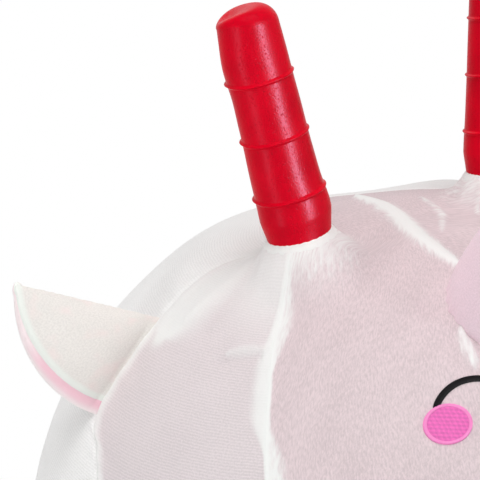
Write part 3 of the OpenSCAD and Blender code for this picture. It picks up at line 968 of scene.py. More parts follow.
def patch(top: Array, bottom: Array, left: Array, right: Array) -> Array:
    """Unit directions between four edges: the sum of both ruled surfaces less their corners' bilinear one.

    Args:
        top: the first row.
        bottom: the last row.
        left: the first column.
        right: the last column.

    Returns:
        A grid of directions.
    """
    u = np.linspace(0.0, 1.0, len(top))[None, :, None]
    v = np.linspace(0.0, 1.0, len(left))[:, None, None]
    ruled = (1 - v) * top[None] + v * bottom[None] + (1 - u) * left[:, None] + u * right[:, None]
    corners = (1 - v) * ((1 - u) * top[0] + u * top[-1]) + v * ((1 - u) * bottom[0] + u * bottom[-1])
    return unit(ruled - corners)


@dataclass(frozen=True)
class Sewing:
    """How a panel is sewn at its first and last side edge, and its white hem at the handles.

    Bands are the widths of the white seam allowance high on the ball and low bands are those further down. Swells
    are its heights, ridges stand on the seam itself, grooves lie along it, and spread widens the bands near the
    handles. Ribs run across rib_way.
    """

    bands: Span = (0.0, 0.0)
    low_bands: Span = (0.0, 0.0)
    swells: Span = (0.8, 0.8)
    ridges: Span = (0.0, 0.0)
    grooves: Span = (0.9, 0.9)
    hem: Span = (20.0, 32.0)
    hem_white: float = 0.6
    spread: float = 0.0
    rib_way: tuple[float, float, float] | None = None


# The direction that the ribs of the side and back cloth run across
RIB_WAY = (-0.05, 0.12, 0.985)


@dataclass
class PlushCover:
    """The six sewn panels of the cover and the two hems round the handle holes.

    Shares are X and Y as parts of the cover's radius, and turns are degrees from the front to the viewer's left. A
    pair that ends in from, to or at is where a change starts and ends, by the distance from a handle's axis or, for
    the allowance that turns over, by the height.
    """

    form: CoverForm
    face_shares: tuple[Span, ...] = (
        (-0.378, -0.066), (-0.452, -0.106), (-0.525, -0.163), (-0.589, -0.231), (-0.645, -0.297), (-0.699, -0.378),
        (-0.749, -0.51), (-0.765, -0.596))
    face_drift: float = 3.0
    ear_shares: tuple[Span, ...] = (
        (-0.36, 0.15), (-0.44, 0.211), (-0.6, 0.226), (-0.78, 0.226), (-0.835, 0.154), (-0.88, 0.086), (-0.94, 0.03))
    crown_shares: tuple[Span, ...] = ((-0.29, 0.16), (-0.19, 0.34), (0.0, 0.4))
    face_turn: float = 51.2
    drift_fade: float = math.radians(15.0)
    side_turn: float = 90.0
    rim_share: float = 0.985
    base_r: float = 95.0
    wall: float = 0.002
    zip_from: float = -6.6
    zip_to: float = 53.8
    slot_half_w: float = 6.2
    slot_outside: float = 0.8
    slot_inside: float = 0.2
    groove: float = 0.9
    groove_w: float = 1.8
    base_groove: float = 1.5
    open_from: Span = (22.0, 45.0)
    over_at: Span = (150.0, 166.0)
    spread_to: Span = (50.0, 74.0)
    pucker: float = 0.4
    pucker_pitch: float = 17.0
    pucker_at: float = 8.0
    pucker_w: float = 6.0
    pucker_from: Span = (45.0, 85.0)
    seam_w: float = 2.4
    ridge_w: float = 2.2
    allowance_white: float = 0.74
    seam_highlight_w: float = 2.0
    hem_roll: Span = (1.5, 0.55)
    face: Sewing = Sewing(
        bands=(2.5, 2.5), low_bands=(10.5, 10.5), swells=(0.1, 0.1), ridges=(0.5, 0.5), grooves=(0.0, 0.0),
        hem=(16.0, 42.0), hem_white=0.7, spread=3.4)
    sides: Sewing = Sewing(
        bands=(11.5, 9.0), low_bands=(1.5, 9.0), swells=(0.5, 1.5), ridges=(0.5, 0.0), grooves=(0.0, 0.9),
        hem=(22.0, 82.0), spread=-0.5, rib_way=RIB_WAY)
    backs: Sewing = Sewing(hem=(24.0, 44.0), rib_way=RIB_WAY)
    across: int = 185
    side_across: int = 110
    back_across: int = 150
    down: int = 215
    crown_rows: int = 36
    edge_points: int = 80

    def foot_turn(self) -> float:
        """Turn of the face seam at the base panel's rim."""
        return self.face_turn - self.face_drift

    def base_up(self) -> float:
        """Angle of the base panel's rim below the equator."""
        return -math.acos(self.base_r / self.form.cover_r)

    def seam(self, shares: Sequence[Span], turn: float, drift: float = 0.0) -> Array:
        """A seam from the hole's rim over the equator to the base panel's rim.

        The upper part is a curve through shares of the radius. Below it, at an angle up from the equator, the turn
        has fallen by drift times 1 - exp(-fall / fade), so that it runs on smoothly into a meridian.

        Args:
            shares: X and Y of the upper part, as shares of the cover's radius.
            turn: turn from the front to the viewer's left near the equator, in degrees.
            drift: how far the turn falls below there, in degrees.

        Returns:
            Points about the ball's centre.
        """
        a, cover_r = math.radians(turn), self.form.cover_r
        rim = (-math.sin(a) * self.rim_share, -math.cos(a) * self.rim_share)
        flat = np.concatenate([[self.form.seat.root[:2]], np.array([*shares, rim]) * cover_r])
        upper = self.form.above(curved(flat))
        up = np.linspace(math.acos(self.rim_share), self.base_up(), self.edge_points)
        turns = np.radians(turn - drift * (1.0 - np.exp((up - up[0]) / self.drift_fade)))
        lower = stacked(-np.sin(turns) * np.cos(up), -np.cos(turns) * np.cos(up), np.sin(up))
        lower[-1, :2] = self.base_arc(turn - drift, turn)[0, :2] / cover_r
        return np.concatenate([upper, cover_r * lower[1:]])

    def base_arc(self, turn_from: float, turn_to: float) -> Array:
        """Points of the base panel's rim, a circle round the ball's axis.

        Args:
            turn_from: first turn from the front, in degrees.
            turn_to: last turn.

        Returns:
            Points about the ball's centre.
        """
        turns = np.radians(np.linspace(turn_from, turn_to, self.edge_points))
        z = np.array(math.sin(self.base_up()) * self.form.cover_r)
        return stacked(-np.sin(turns) * self.base_r, -np.cos(turns) * self.base_r, z)

    def back_edge(self, start: Array) -> Array:
        """The centre back from the crown seam to the base, set aside by the zip's slot with eased ends.

        Args:
            start: the crown seam's point at the centre back.

        Returns:
            Points about the ball's centre.
        """
        up = math.asin(float(start[2] / np.linalg.norm(start)))
        angles = np.linspace(up, self.base_up(), 400)
        down = -np.degrees(angles)
        outside, inside = self.slot_outside, self.slot_inside
        slot = self.slot_half_w * ease(self.zip_from - outside, self.zip_from + inside, down)
        slot = slot * (1.0 - ease(self.zip_to - inside, self.zip_to + outside, down))
        y = np.sqrt(np.square(self.form.cover_r * np.cos(angles)) - slot * slot)
        return stacked(-slot, y, self.form.cover_r * np.sin(angles))

    def patches(self) -> dict[str, Array]:
        """Unit directions of the face's grid and of the left side and back panel's.

        The seams meet under the handles. The face's grid runs from the crown seam to a line between the handles,
        as rows between the two, and from that line down between the face seams.

        Returns:
            Grids of directions by panel.
        """
        face = self.seam(self.face_shares, self.face_turn, self.face_drift)
        ear = self.seam(self.ear_shares, self.side_turn)
        foot = self.foot_turn()
        half = np.concatenate([[self.form.seat.root[:2]], np.array(self.crown_shares) * self.form.cover_r])
        crown = self.form.above(curved(np.concatenate([half, half[-2::-1] * (-1, 1)])))
        middle = crown[:(len(crown) + 1) // 2]
        line = self.form.above(stacked(np.linspace(half[0, 0], -half[0, 0], self.edge_points), half[0, 1]))
        v = np.linspace(0.0, 1.0, self.crown_rows, endpoint=False)[:, None, None]
        behind = unit((1 - v) * resampled(crown, self.across) + v * resampled(line, self.across))
        ahead = self.ways(line, self.base_arc(foot, -foot), face, face * (-1.0, 1.0, 1.0), self.across)
        root = np.repeat(face[:1], 2, axis=0)
        return {
            "face": np.concatenate([behind, ahead]),
            "side": self.ways(root, self.base_arc(foot, self.side_turn), face, ear, self.side_across),
            "back": self.ways(middle, self.base_arc(self.side_turn, 180.0), ear, self.back_edge(middle[-1]),
                              self.back_across),
        }

    def ways(self, top: Array, bottom: Array, left: Array, right: Array, across: int) -> Array:
        """Unit directions of a grid between four edges, with evenly spaced points on each."""
        return patch(resampled(top, across), resampled(bottom, across),
                     resampled(left, self.down), resampled(right, self.down))

    def panel_grid(self, ways: Array, side: Side, sewing: Sewing) -> Grid:
        """A panel's surface: the cover with stitched grooves, the ridges of the seam allowance and the folds.

        Each seam lies in a groove, a bell of the distance from the panel's edge, and puckers the cloth beside it in
        waves along the seam. The allowance under the cloth raises a low ridge, and there the doubled cloth shows
        white, whitest on the seam's own ridge as painted highlight. Some way down the face seam the allowance turns
        over to the other panel.

        Args:
            ways: unit directions of the grid.
            side: which side of the face it is on.
            sewing: the bands and grooves of its edges.

        Returns:
            The grid.
        """
        points = self.form.outside(ways)
        out = unit(points)
        run_u, run_v = run_lengths(points, 1), run_lengths(points, 0)
        gaps = (run_u, run_u[:, -1:] - run_u, run_v, run_v[-1:] - run_v)
        depths = (*sewing.grooves, self.groove, self.groove)
        near = self.form.from_handle(points)
        height = -np.max([deep * bell(gap, self.groove_w) for gap, deep in zip(gaps, depths)], axis=0)
        height = height * ease(*self.open_from, near)
        doubled_and_lit = sewing.hem_white * (1.0 - ease(*sewing.hem, near))
        high = ease(*self.over_at, points[..., 2])
        wide = 1.0 + sewing.spread * (1.0 - ease(*self.spread_to, near))
        waves = np.sin(2 * math.pi * run_v / self.pucker_pitch + 2.0 * np.sin(run_v / 41.0))
        waves = self.pucker * waves * ease(*self.pucker_from, near)
        edges = zip(gaps, sewing.bands, sewing.low_bands, sewing.swells, sewing.ridges)
        for gap, plain, low, swell, ridge in edges:
            off_seam = 1.0 - bell(gap, self.seam_w)
            height = height + waves * bell(gap - self.pucker_at, self.pucker_w) * off_seam
            if plain > 0.0:
                band = plain * high * wide + low * (1.0 - high)
                height = height + swell * bell(gap - 0.5 * band, 0.42 * band) * off_seam
                height = height + ridge * bell(gap, self.ridge_w)
                # The allowance is doubled cloth; the extra white on the seam's own ridge is painted highlight
                white = self.allowance_white + (1.0 - self.allowance_white) * bell(gap, self.seam_highlight_w)
                doubled_and_lit = np.maximum(doubled_and_lit, white * (1.0 - ease(0.45 * band, 1.5 * band, gap)))
        # Each fold paints its share of white along itself: painted light on the fold
        for fold in self.form.folds:
            share = fold.reach(side.turned(points))
            height = height + fold.rise * share
            doubled_and_lit = np.maximum(doubled_and_lit, fold.white * np.minimum(1.2 * share, 1.0))
        across, along = np.minimum(gaps[0], gaps[1]), run_v
        if sewing.rib_way is not None:
            across = run_u - run_u[:, -1:] / 2
            up_share = side.turned(out) @ unit(np.array(sewing.rib_way))
            along = self.form.cover_r * np.arcsin(np.clip(up_share, -1.0, 1.0))
        uv = stacked(across, along) * MM
        cut = near < self.form.seat.hole_r - 1.0
        return Grid(points + out * height[..., None], uv, {"doubled_and_lit": doubled_and_lit}, cut=cut)

    def sewn(self, grid: Grid, name: str, finish: bpy.types.Material) -> None:
        """Makes a panel's piece, gives it its wall and its cloth, and works out the cross products of its quads'
        diagonals.

        Args:
            grid: the panel's surface.
            name: the node that it stands for.
            finish: its cloth.
        """
        piece = grid.make(name + "_cloth")
        thicken(piece, self.wall)
        dress(piece, finish, "ball", WHITE_CLOTH, name)
        points = grid.points * MM
        crossed = np.cross(points[1:, 1:] - points[:-1, :-1], points[1:, :-1] - points[:-1, 1:])

    def base_grid(self) -> Grid:
        """The base panel: a disc of directions round straight down, flat where it rests, with its rim in a groove.

        Returns:
            The grid, closed at the middle.
        """
        turns = full_turn(180)
        tilt = np.linspace(0.02, math.pi / 2 + self.base_up(), 60)[:, None]
        ways = stacked(np.sin(tilt) * np.sin(turns), -np.sin(tilt) * np.cos(turns), -np.cos(tilt))
        points = self.form.outside(ways)
        rim = self.base_groove * bell((tilt - tilt[-1]) * self.form.cover_r, self.groove_w)
        points = points - unit(points) * rim[..., None]
        return Grid(points, lapped(points)[..., :2] * MM, {"doubled_and_lit": np.zeros(points.shape[:2])}, ring=True,
                    tips=(np.array([0.0, 0.0, -CENTRE_Z]), None))

    def hem_grid(self, side: Side) -> Grid:
        """A hem: a flat soft roll round the hole, an oval section carried round the tent's top with small puckers.

        Args:
            side: which handle it is round.

        Returns:
            The grid, closed both ways.
        """
        turns, section = full_turn(240), full_turn(20).T
        seat = self.form.seat
        half_w, half_h = self.hem_roll
        away = seat.hole_r + 0.5 + half_w * np.cos(section) + 0.1 * np.cos(23.0 * turns)
        fall = 0.2 + seat.cone_top - seat.cone_slope * (away - seat.hole_r)
        rise = half_h * np.sin(section) + 0.12 * np.sin(31.0 * turns + 2.0 * np.sin(5.0 * turns))
        points = seat.placed(away, turns, fall + rise)
        uv = stacked(np.linspace(0.0, 0.13, 241)[None], np.linspace(0.0, 0.02, 21)[:, None])
        return Grid(side.turned(points), uv, {"doubled_and_lit": np.full(points.shape[:2], 0.9)}, ring=True, tube=True)

    def build(self, face: bpy.types.Material, sides: bpy.types.Material, backs: bpy.types.Material) -> None:
        """Makes every panel and hem.

        Args:
            face: cloth of the face.
            sides: cloth of the two side panels.
            backs: cloth of the back panels, the base and the hems.
        """
        ways = self.patches()
        self.sewn(self.panel_grid(ways["face"], Side.LEFT, self.face), "face_panel", face)
        for side in Side:
            for place, sewing, finish in (("side", self.sides, sides), ("back", self.backs, backs)):
                panel = self.panel_grid(side.turned(ways[place]), side, sewing)
                self.sewn(panel, f"{side.word}_{place}_panel", finish)
            hem = self.hem_grid(side).make(f"{side.word}_handle_hem_roll", side.turned(np.array(self.form.seat.root)))
            dress(hem, backs, "ball", WHITE_CLOTH, f"{side.word}_handle_hem")
        self.sewn(self.base_grid(), "base_panel", backs)


# The face


@dataclass(frozen=True)
class FaceFrame:
    """A place on the viewer's left of the face: directions to the right, upwards and outwards."""

    turn: float
    up: float
    tilt: float = 0.0

    def basis(self) -> tuple[Array, Array, Array]:
        """The three directions: right and upward are turned about outward by the tilt.

        Returns:
            Unit vectors to the right, upwards and outwards.
        """
        t, u, r = (math.radians(a) for a in (self.turn, self.up, self.tilt))
        right = np.array([math.cos(t), -math.sin(t), 0.0])
        upward = np.array([math.sin(u) * math.sin(t), math.sin(u) * math.cos(t), math.cos(u)])
        outward = np.array([-math.cos(u) * math.sin(t), -math.cos(u) * math.cos(t), math.sin(u)])
        return (right * math.cos(r) + upward * math.sin(r), upward * math.cos(r) - right * math.sin(r), outward)

    def lifted(self, x: Array, y: Array, form: CoverForm) -> Array:
        """Points of the cover straight in from places on the frame's plane.

        Args:
            x: distances to the right.
            y: distances upwards.
            form: the cover.

        Returns:
            A point for each place.
        """
        right, upward, outward = self.basis()
        depth = np.sqrt(form.cover_r**2 - x * x - y * y)
        ways = unit(x[..., None] * right + y[..., None] * upward + depth[..., None] * outward)
        return form.outside(ways)


@dataclass
class StitchedFace:
    """Closed eyes and cheeks in raised satin stitch."""

    form: CoverForm
    eye: FaceFrame = FaceFrame(24.2, 48.1)
    eye_r: float = 25.0
    eye_half_arc: float = 66.0
    eye_stroke: float = 3.6
    eye_rise: float = 1.25
    eye_foot: float = 0.2
    stitch_wave: float = 0.03
    cheek: FaceFrame = FaceFrame(31.0, 48.5, 12.0)
    cheek_w: float = 26.0
    cheek_h: float = 21.5
    fill_rise: float = 0.75
    border_from: float = 0.84
    border_at: float = 0.92
    border_half_w: float = 0.085
    border_rise: float = 0.55
    tuck_from: float = 0.985
    tuck: float = -0.3

    def eye_grid(self, side: Side) -> Grid:
        """An eye: an oval section carried along an arc on the cover, closing round at both ends.

        Along s from -1 to 1 the half width is half the stroke times the root of 1 - |s|^24.

        Args:
            side: which eye.

        Returns:
            The grid, closed at both ends.
        """
        along = np.linspace(-1.0, 1.0, 200)[:, None]
        angle = math.pi / 2 + math.radians(self.eye_half_arc) * along
        line = self.eye.lifted(self.eye_r * np.cos(angle), self.eye_r * np.sin(angle), self.form)
        out = unit(line)
        way = unit(np.gradient(line[:, 0], axis=0))[:, None]
        across = np.cross(out, way)
        width = 0.5 * self.eye_stroke * np.power(1.0 - np.abs(along) ** 24, 0.5).clip(0.02)
        turn = full_turn(24)
        stitch = 1.0 + self.stitch_wave * np.cos(along * 330.0)
        section = across * (width * stitch * np.cos(turn))[..., None]
        height = self.eye_foot + (self.eye_rise - self.eye_foot) * np.sin(turn) * (width / width.max())
        section = section + out * height[..., None]
        points = side.turned(line + section)
        run = (along + 1.0) * math.radians(self.eye_half_arc) * self.eye_r * MM
        uv = stacked(run, np.linspace(0.0, 0.008, 25)[None])
        ends = points[0].mean(axis=0), points[-1].mean(axis=0)
        return Grid(points, uv, {"border": np.zeros(points.shape[:2])}, ring=True, tips=ends)

    def cheek_grid(self, side: Side) -> Grid:
        """A cheek: an oval pad of slanting fill stitches inside a raised border, whose section is half an oval.

        Args:
            side: which cheek.

        Returns:
            The grid, closed at the middle.
        """
        share = np.linspace(0.02, 1.0, 46)[:, None]
        turn = full_turn(120)
        x, y = 0.5 * self.cheek_w * share * np.cos(turn), 0.5 * self.cheek_h * share * np.sin(turn)
        ground = self.cheek.lifted(x, y, self.form)
        border = ease(self.border_from - 0.02, self.border_from + 0.02, share)
        bulge = np.sqrt(np.clip(1.0 - np.square((share - self.border_at) / self.border_half_w), 0.0, 1.0))
        height = self.fill_rise + self.border_rise * bulge
        height = np.where(share > self.tuck_from, self.tuck, height) + 0.06 * np.cos(turn * 90.0) * border
        points = side.turned(ground + unit(ground) * height[..., None])
        on_border = share > self.border_from
        run = np.where(on_border, turn * 0.5 * self.cheek_w, 0.95 * y + 0.3 * x)
        aside = np.where(on_border, share * 4.0, 0.95 * x - 0.3 * y)
        return Grid(points, lapped(stacked(run, aside) * MM), {"border": border + 0 * turn}, ring=True,
                    tips=(points[0].mean(axis=0), None))

    def build(self, black: bpy.types.Material, magenta: bpy.types.Material) -> None:
        """Makes both eyes and both cheeks.

        Args:
            black: thread of the eyes.
            magenta: thread of the cheeks.
        """
        for side in Side:
            grid = self.eye_grid(side)
            eye = grid.make(f"{side.word}_eye_stitch", grid.points.mean(axis=(0, 1)) * 0.98)
            dress(eye, black, "ball", "black_thread", f"{side.word}_eye")
            cheek = self.cheek_grid(side).make(f"{side.word}_cheek_stitch")
            dress(cheek, magenta, "ball", "magenta_thread", f"{side.word}_cheek")


# The ears and the horn


@dataclass
class StuffedEar:
    """An ear: a stack of ovals from the roll at its seam to its tip, white in front and pink behind."""

    form: CoverForm
    down: tuple[float, float, float] = (-0.70076, 0.01211, -0.7133)
    front: tuple[float, float, float] = (-0.17100, -0.97394, 0.14917)
    outward: tuple[float, float, float] = (-0.6929, 0.22648, 0.68455)
    length: float = 83.0
    up_w: float = 30.0
    down_w: float = 35.0
    belly: float = 14.0
    half_t: float = 8.5
    roll_r: float = 3.4
    skin: float = 1.4
    axis_h: float = 3.8
    tip_shift: float = -1.5
    front_from: float = 43.0
    front_to: float = 180.0
    flange: float = 5.5
    tip_r: float = 3.6
    bend_run: float = 14.0
    root_h: float = -4.0
    groove: float = 0.55
    groove_w: float = 1.5
    pucker: float = 0.14
    pucker_at: float = 3.0
    dip: float = 0.16
    dip_from: Span = (10.0, 40.0)
    fade_turn: float = 36.0
    fade_tip: Span = (0.42, 0.8)
    flange_white: float = 0.9
    front_lift: float = 0.45
    front_wall: float = 0.0008

    def outline(self, h: Array) -> tuple[Array, Array]:
        """The ear's middle and half width at heights: a straight upper edge and a round lower one.

        The lower edge is an arc that stands out from its chord by the belly.

        Args:
            h: heights above the seam.

        Returns:
            The middle and the half width along the seam's direction.
        """
        across, along = self.down_w - self.tip_shift, self.length
        chord = math.hypot(across, along)
        edge_r = ((chord / 2) ** 2 + self.belly**2) / (2 * self.belly)
        centre_s = (self.tip_shift + self.down_w) / 2 - along / chord * (edge_r - self.belly)
        centre_h = along / 2 - across / chord * (edge_r - self.belly)
        top = -self.up_w + (self.up_w + self.tip_shift) * h / self.length
        low = centre_s + np.sqrt(np.maximum(edge_r**2 - np.square(h - centre_h), 0.0))
        return (top + low) / 2, np.maximum((low - top) / 2, self.knob(h))

    def knob(self, h: Array) -> Array:
        """Half width of the round end where the cloth is folded in at the tip."""
        return np.sqrt(np.maximum(self.tip_r**2 - np.square(h - self.length + self.tip_r), 0.04))

    def thickness(self, h: Array) -> Array:
        """Half thickness: the root's roll, then a swelling that dies away at the tip's small round end.

        The swelling is a power of sin(pi * s^0.72) of the height share s.

        Args:
            h: heights above the seam.

        Returns:
            A half thickness for each.
        """
        s = np.clip((h - self.axis_h) / (self.length - self.axis_h), 0.0, 1.0)
        swell = (self.half_t - self.roll_r / 2) * np.power(np.sin(math.pi * np.power(s, 0.72)).clip(0.0), 0.8)
        plain = self.roll_r * (1 - s) + self.skin * s + swell
        return np.where(h > self.length - self.tip_r, np.minimum(plain, self.knob(h)), plain)

    def place(self, along: Array, thick: Array, h: Array) -> Array:
        """Points from the ear's own directions to the ball's."""
        return (along[..., None] * np.array(self.down) + thick[..., None] * np.array(self.front)
                + (h + self.form.cover_r)[..., None] * np.array(self.outward))

    def grid(self, side: Side, turn_from: float, turn_to: float, columns: int, lift: float) -> Grid:
        """The ear's surface between two angles round its rings.

        Each ring is an oval of the outline's half width and the thickness. Seams lie in a small groove at the
        two angles where the cloths meet, with puckers across them.

        Args:
            side: which ear.
            turn_from: first angle in degrees; 90 is the front.
            turn_to: last angle; 360 more than the first closes the ring.
            columns: points round.
            lift: how far the surface stands out from the plain form.

        Returns:
            The grid, with the pink cloth's fade.
        """
        closed = turn_to - turn_from >= 360.0
        share = np.linspace(0.0, 1.0, 110)[:, None]
        h = self.root_h + (self.length * 0.999 - self.root_h) * (1.0 - np.power(1.0 - share, 1.5))
        turn = np.radians(np.linspace(turn_from, turn_to, columns + 1))[None]
        turn = turn[:, :-1] if closed else turn
        middle, half = self.outline(h)
        seam = [np.abs(np.angle(np.exp(1j * (turn - math.radians(a))))) for a in (self.front_from, self.front_to)]
        groove = sum(bell(gap * half, self.groove_w) for gap in seam)
        beside = sum(bell(gap * half - self.pucker_at, self.pucker_at) for gap in seam)
        pucker = beside * np.cos(h * 0.9 + 2.0 * np.sin(h * 0.21))
        grow = lift - self.groove * groove + self.pucker * pucker
        in_front = np.where(np.sin(turn) > 0.0, 1.0, 0.0) * ease(*self.dip_from, h)
        dip = 1.0 - self.dip * bell(np.cos(turn) + 0.15, 0.5) * in_front
        along = middle + (half + grow) * np.cos(turn)
        thick = (self.thickness(h) * dip + grow) * np.sin(turn)
        points = side.turned(self.place(along, thick, h + 0 * turn))
        behind = np.degrees(np.angle(np.exp(1j * (math.radians(self.front_from) - turn))))
        fade = ease(0.0, self.fade_turn, np.where(behind < -1.0, behind + 360.0, behind))
        fade = np.maximum(fade, ease(*self.fade_tip, h / self.length))
        flange = 1.0 - ease(0.6 * self.flange, 1.5 * self.flange, seam[0] * half)
        flange = self.flange_white * flange * (not closed)
        uv = stacked((turn - turn.mean()) * half, h) * MM
        uv = lapped(uv) if closed else uv
        tip = points[-1].mean(axis=0) + side.turned(np.array(self.outward)) * 0.5
        return Grid(points, uv, {"fade": fade, "doubled_and_lit": flange}, ring=closed,
                    tips=(points[0].mean(axis=0), tip) if closed else (None, None))

    def build(self, side: Side, white: bpy.types.Material, pink: bpy.types.Material) -> None:
        """Makes one ear's stuffed pink form and its white front cloth, with their places baked in and no body.

        Args:
            side: which ear.
            white: cloth of its front.
            pink: cloth of its back.
        """
        out = side.turned(np.array(self.outward))
        inside = out * (self.form.cover_r + 30.0)
        start, end = (((out * (self.form.cover_r + h)) + (0, 0, CENTRE_Z)) * MM for h in (0.0, self.bend_run))
        name = f"{side.word}_ear"
        back = self.grid(side, 180.0, 540.0, 120, 0.0).make(name + "_stuffed", inside)
        cloth = self.grid(side, self.front_from, self.front_to, 60, self.front_lift)
        front = cloth.make(name + "_front_cloth", inside)
        thicken(front, self.front_wall)
        dress(back, pink, "", PINK_CLOTH, name + "_back", name + "_stuffing")
        dress(front, white, "", WHITE_CLOTH, name + "_front")
        for piece in (back, front):
            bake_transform(piece)


@dataclass
class StuffedHorn:
    """The horn: an arc from its root to a round tip, turned about the horn's axis, sewn to the cover."""

    form: CoverForm
    up: float = 64.0
    root_d: float = 80.0
    length: float = 118.0
    tip_r: float = 10.0
    gather: float = 0.5
    gathers: int = 26
    gather_fade: float = 9.0
    seam: float = 0.9
    seam_w: float = 1.6
    sway: float = 0.8
    root_white: float = 0.25
    root_white_w: float = 7.0

    def outward(self) -> Array:
        """The horn's direction."""
        a = math.radians(self.up)
        return np.array([0.0, -math.cos(a), math.sin(a)])

    def profile(self, count: int) -> tuple[Array, Array]:
        """Radius and height of the arc and the tip's round, which touch without a kink.

        Args:
            count: points of the arc.

        Returns:
            The radii and the heights, from a little under the cover to the tip.
        """
        rise = self.length - self.tip_r
        half = self.root_d / 2
        arc_r = (half**2 - self.tip_r**2 + rise**2) / (2 * (half - self.tip_r))
        meet = math.asin(rise / (arc_r - self.tip_r))
        low = np.linspace(-0.09, meet, count)
        high = np.linspace(meet, math.pi / 2 - 0.03, count // 3)[1:]
        radius = np.concatenate([half - arc_r + arc_r * np.cos(low), self.tip_r * np.cos(high)])
        return radius, np.concatenate([arc_r * np.sin(low), rise + self.tip_r * np.sin(high)])

    def grid(self) -> Grid:
        """The horn's surface: the profile turned about the axis, with gathers at its root and one seam at the back.

        Returns:
            The grid, closed at the tip and under the cover.
        """
        radius, height = (a[:, None] for a in self.profile(120))
        turn = full_turn(160)
        gather = self.gather * np.exp(-np.maximum(height, 0.0) / self.gather_fade)
        gather = gather * np.cos(self.gathers * turn + np.sin(3.0 * turn))
        seam = self.seam * bell(np.abs(turn - math.pi) * radius, self.seam_w)
        sway = self.sway * np.sin(height * 0.055 + 0.8) * np.cos(2.0 * turn + 0.7)
        wide = radius + gather + sway * ease(0.0, 25.0, height) * ease(0.0, 14.0, radius) - seam
        out, right = self.outward(), np.array([1.0, 0.0, 0.0])
        across = np.cos(turn)[..., None] * np.cross(right, out) + np.sin(turn)[..., None] * right
        points = wide[..., None] * across + (height + self.form.cover_r)[..., None] * out
        uv = stacked(np.linspace(-math.pi, math.pi, 161)[None] * radius, height) * MM
        white = self.root_white * bell(height, self.root_white_w) + 0 * turn
        return Grid(points, uv, {"doubled_and_lit": white}, ring=True,
                    tips=(points[0].mean(axis=0), out * (self.form.cover_r + self.length)))

    def build(self, pink: bpy.types.Material) -> None:
        """Makes the horn.

        Args:
            pink: its cloth.
        """
        inside = self.outward() * (self.form.cover_r + 40.0)
        horn = self.grid().make("horn_stuffed", inside)
        dress(horn, pink, "ball", PINK_CLOTH, "horn_skin", "horn_stuffing")


# The zip, the ball and the handles


@dataclass
class ZipTapes:
    """The two woven tapes that carry the zip's teeth down the back."""

    inner: float = 0.2
    edge: float = 3.2
    under: float = 1.7
    outer: float = 13.2
    surface_r: float = 228.15
    from_angle: float = -8.0
    to_angle: float = 55.0
    wall: float = 0.0005
    slack: float = 1.01

    def grid(self, side: Side) -> Grid:
        """A tape: a strip of the sphere that dips under the teeth at its inner edge, with a soft outer edge.

        Args:
            side: which tape.

        Returns:
            The grid.
        """
        x = np.linspace(self.inner, self.outer, 34)[None]
        a = np.radians(np.linspace(self.from_angle, self.to_angle, 260))[:, None]
        r = self.surface_r - 0.25 * ease(self.outer - 1.2, self.outer, x) + 0.05 * np.sin(a * 90.0)
        r = r - self.under * (1.0 - ease(self.edge - 1.0, self.edge + 0.6, x))
        ring = np.sqrt(r * r - x * x)
        points = stacked(side.value * x, ring * np.cos(a), -ring * np.sin(a))
        return Grid(points, stacked(x - self.inner, a * self.surface_r) * MM)

    def build(self, tape: bpy.types.Material) -> None:
        """Makes both tapes.

        Args:
            tape: their finish.
        """
        for side in Side:
            piece = self.grid(side).make(f"{side.word}_zip_tape_weave")
            thicken(piece, self.wall)
            dress(piece, tape, "ball", "zip_tape", f"{side.word}_zip_tape")


@dataclass
class InflatedBall:
    """The ball's wall under the cover, which it presses out."""

    form: CoverForm
    under: float = 3.4
    pole: float = 0.02

    def build(self, vinyl: bpy.types.Material) -> None:
        """Makes the ball from the cover's own form over a globe of directions, a little smaller.

        Args:
            vinyl: its finish.
        """
        up = np.linspace(-math.pi / 2 + self.pole, math.pi / 2 - self.pole, 180)[:, None]
        turn = full_turn(240)
        points = self.form.outside(stacked(np.cos(up) * np.sin(turn), -np.cos(up) * np.cos(turn), np.sin(up)))
        points = points - unit(points) * self.under
        ends = points[0].mean(axis=0), points[-1].mean(axis=0)
        ball = Grid(points, lapped(points)[..., :2] * MM, ring=True, tips=ends).make("ball_wall")
        dress(ball, vinyl, "ball", RED, "ball_shell")


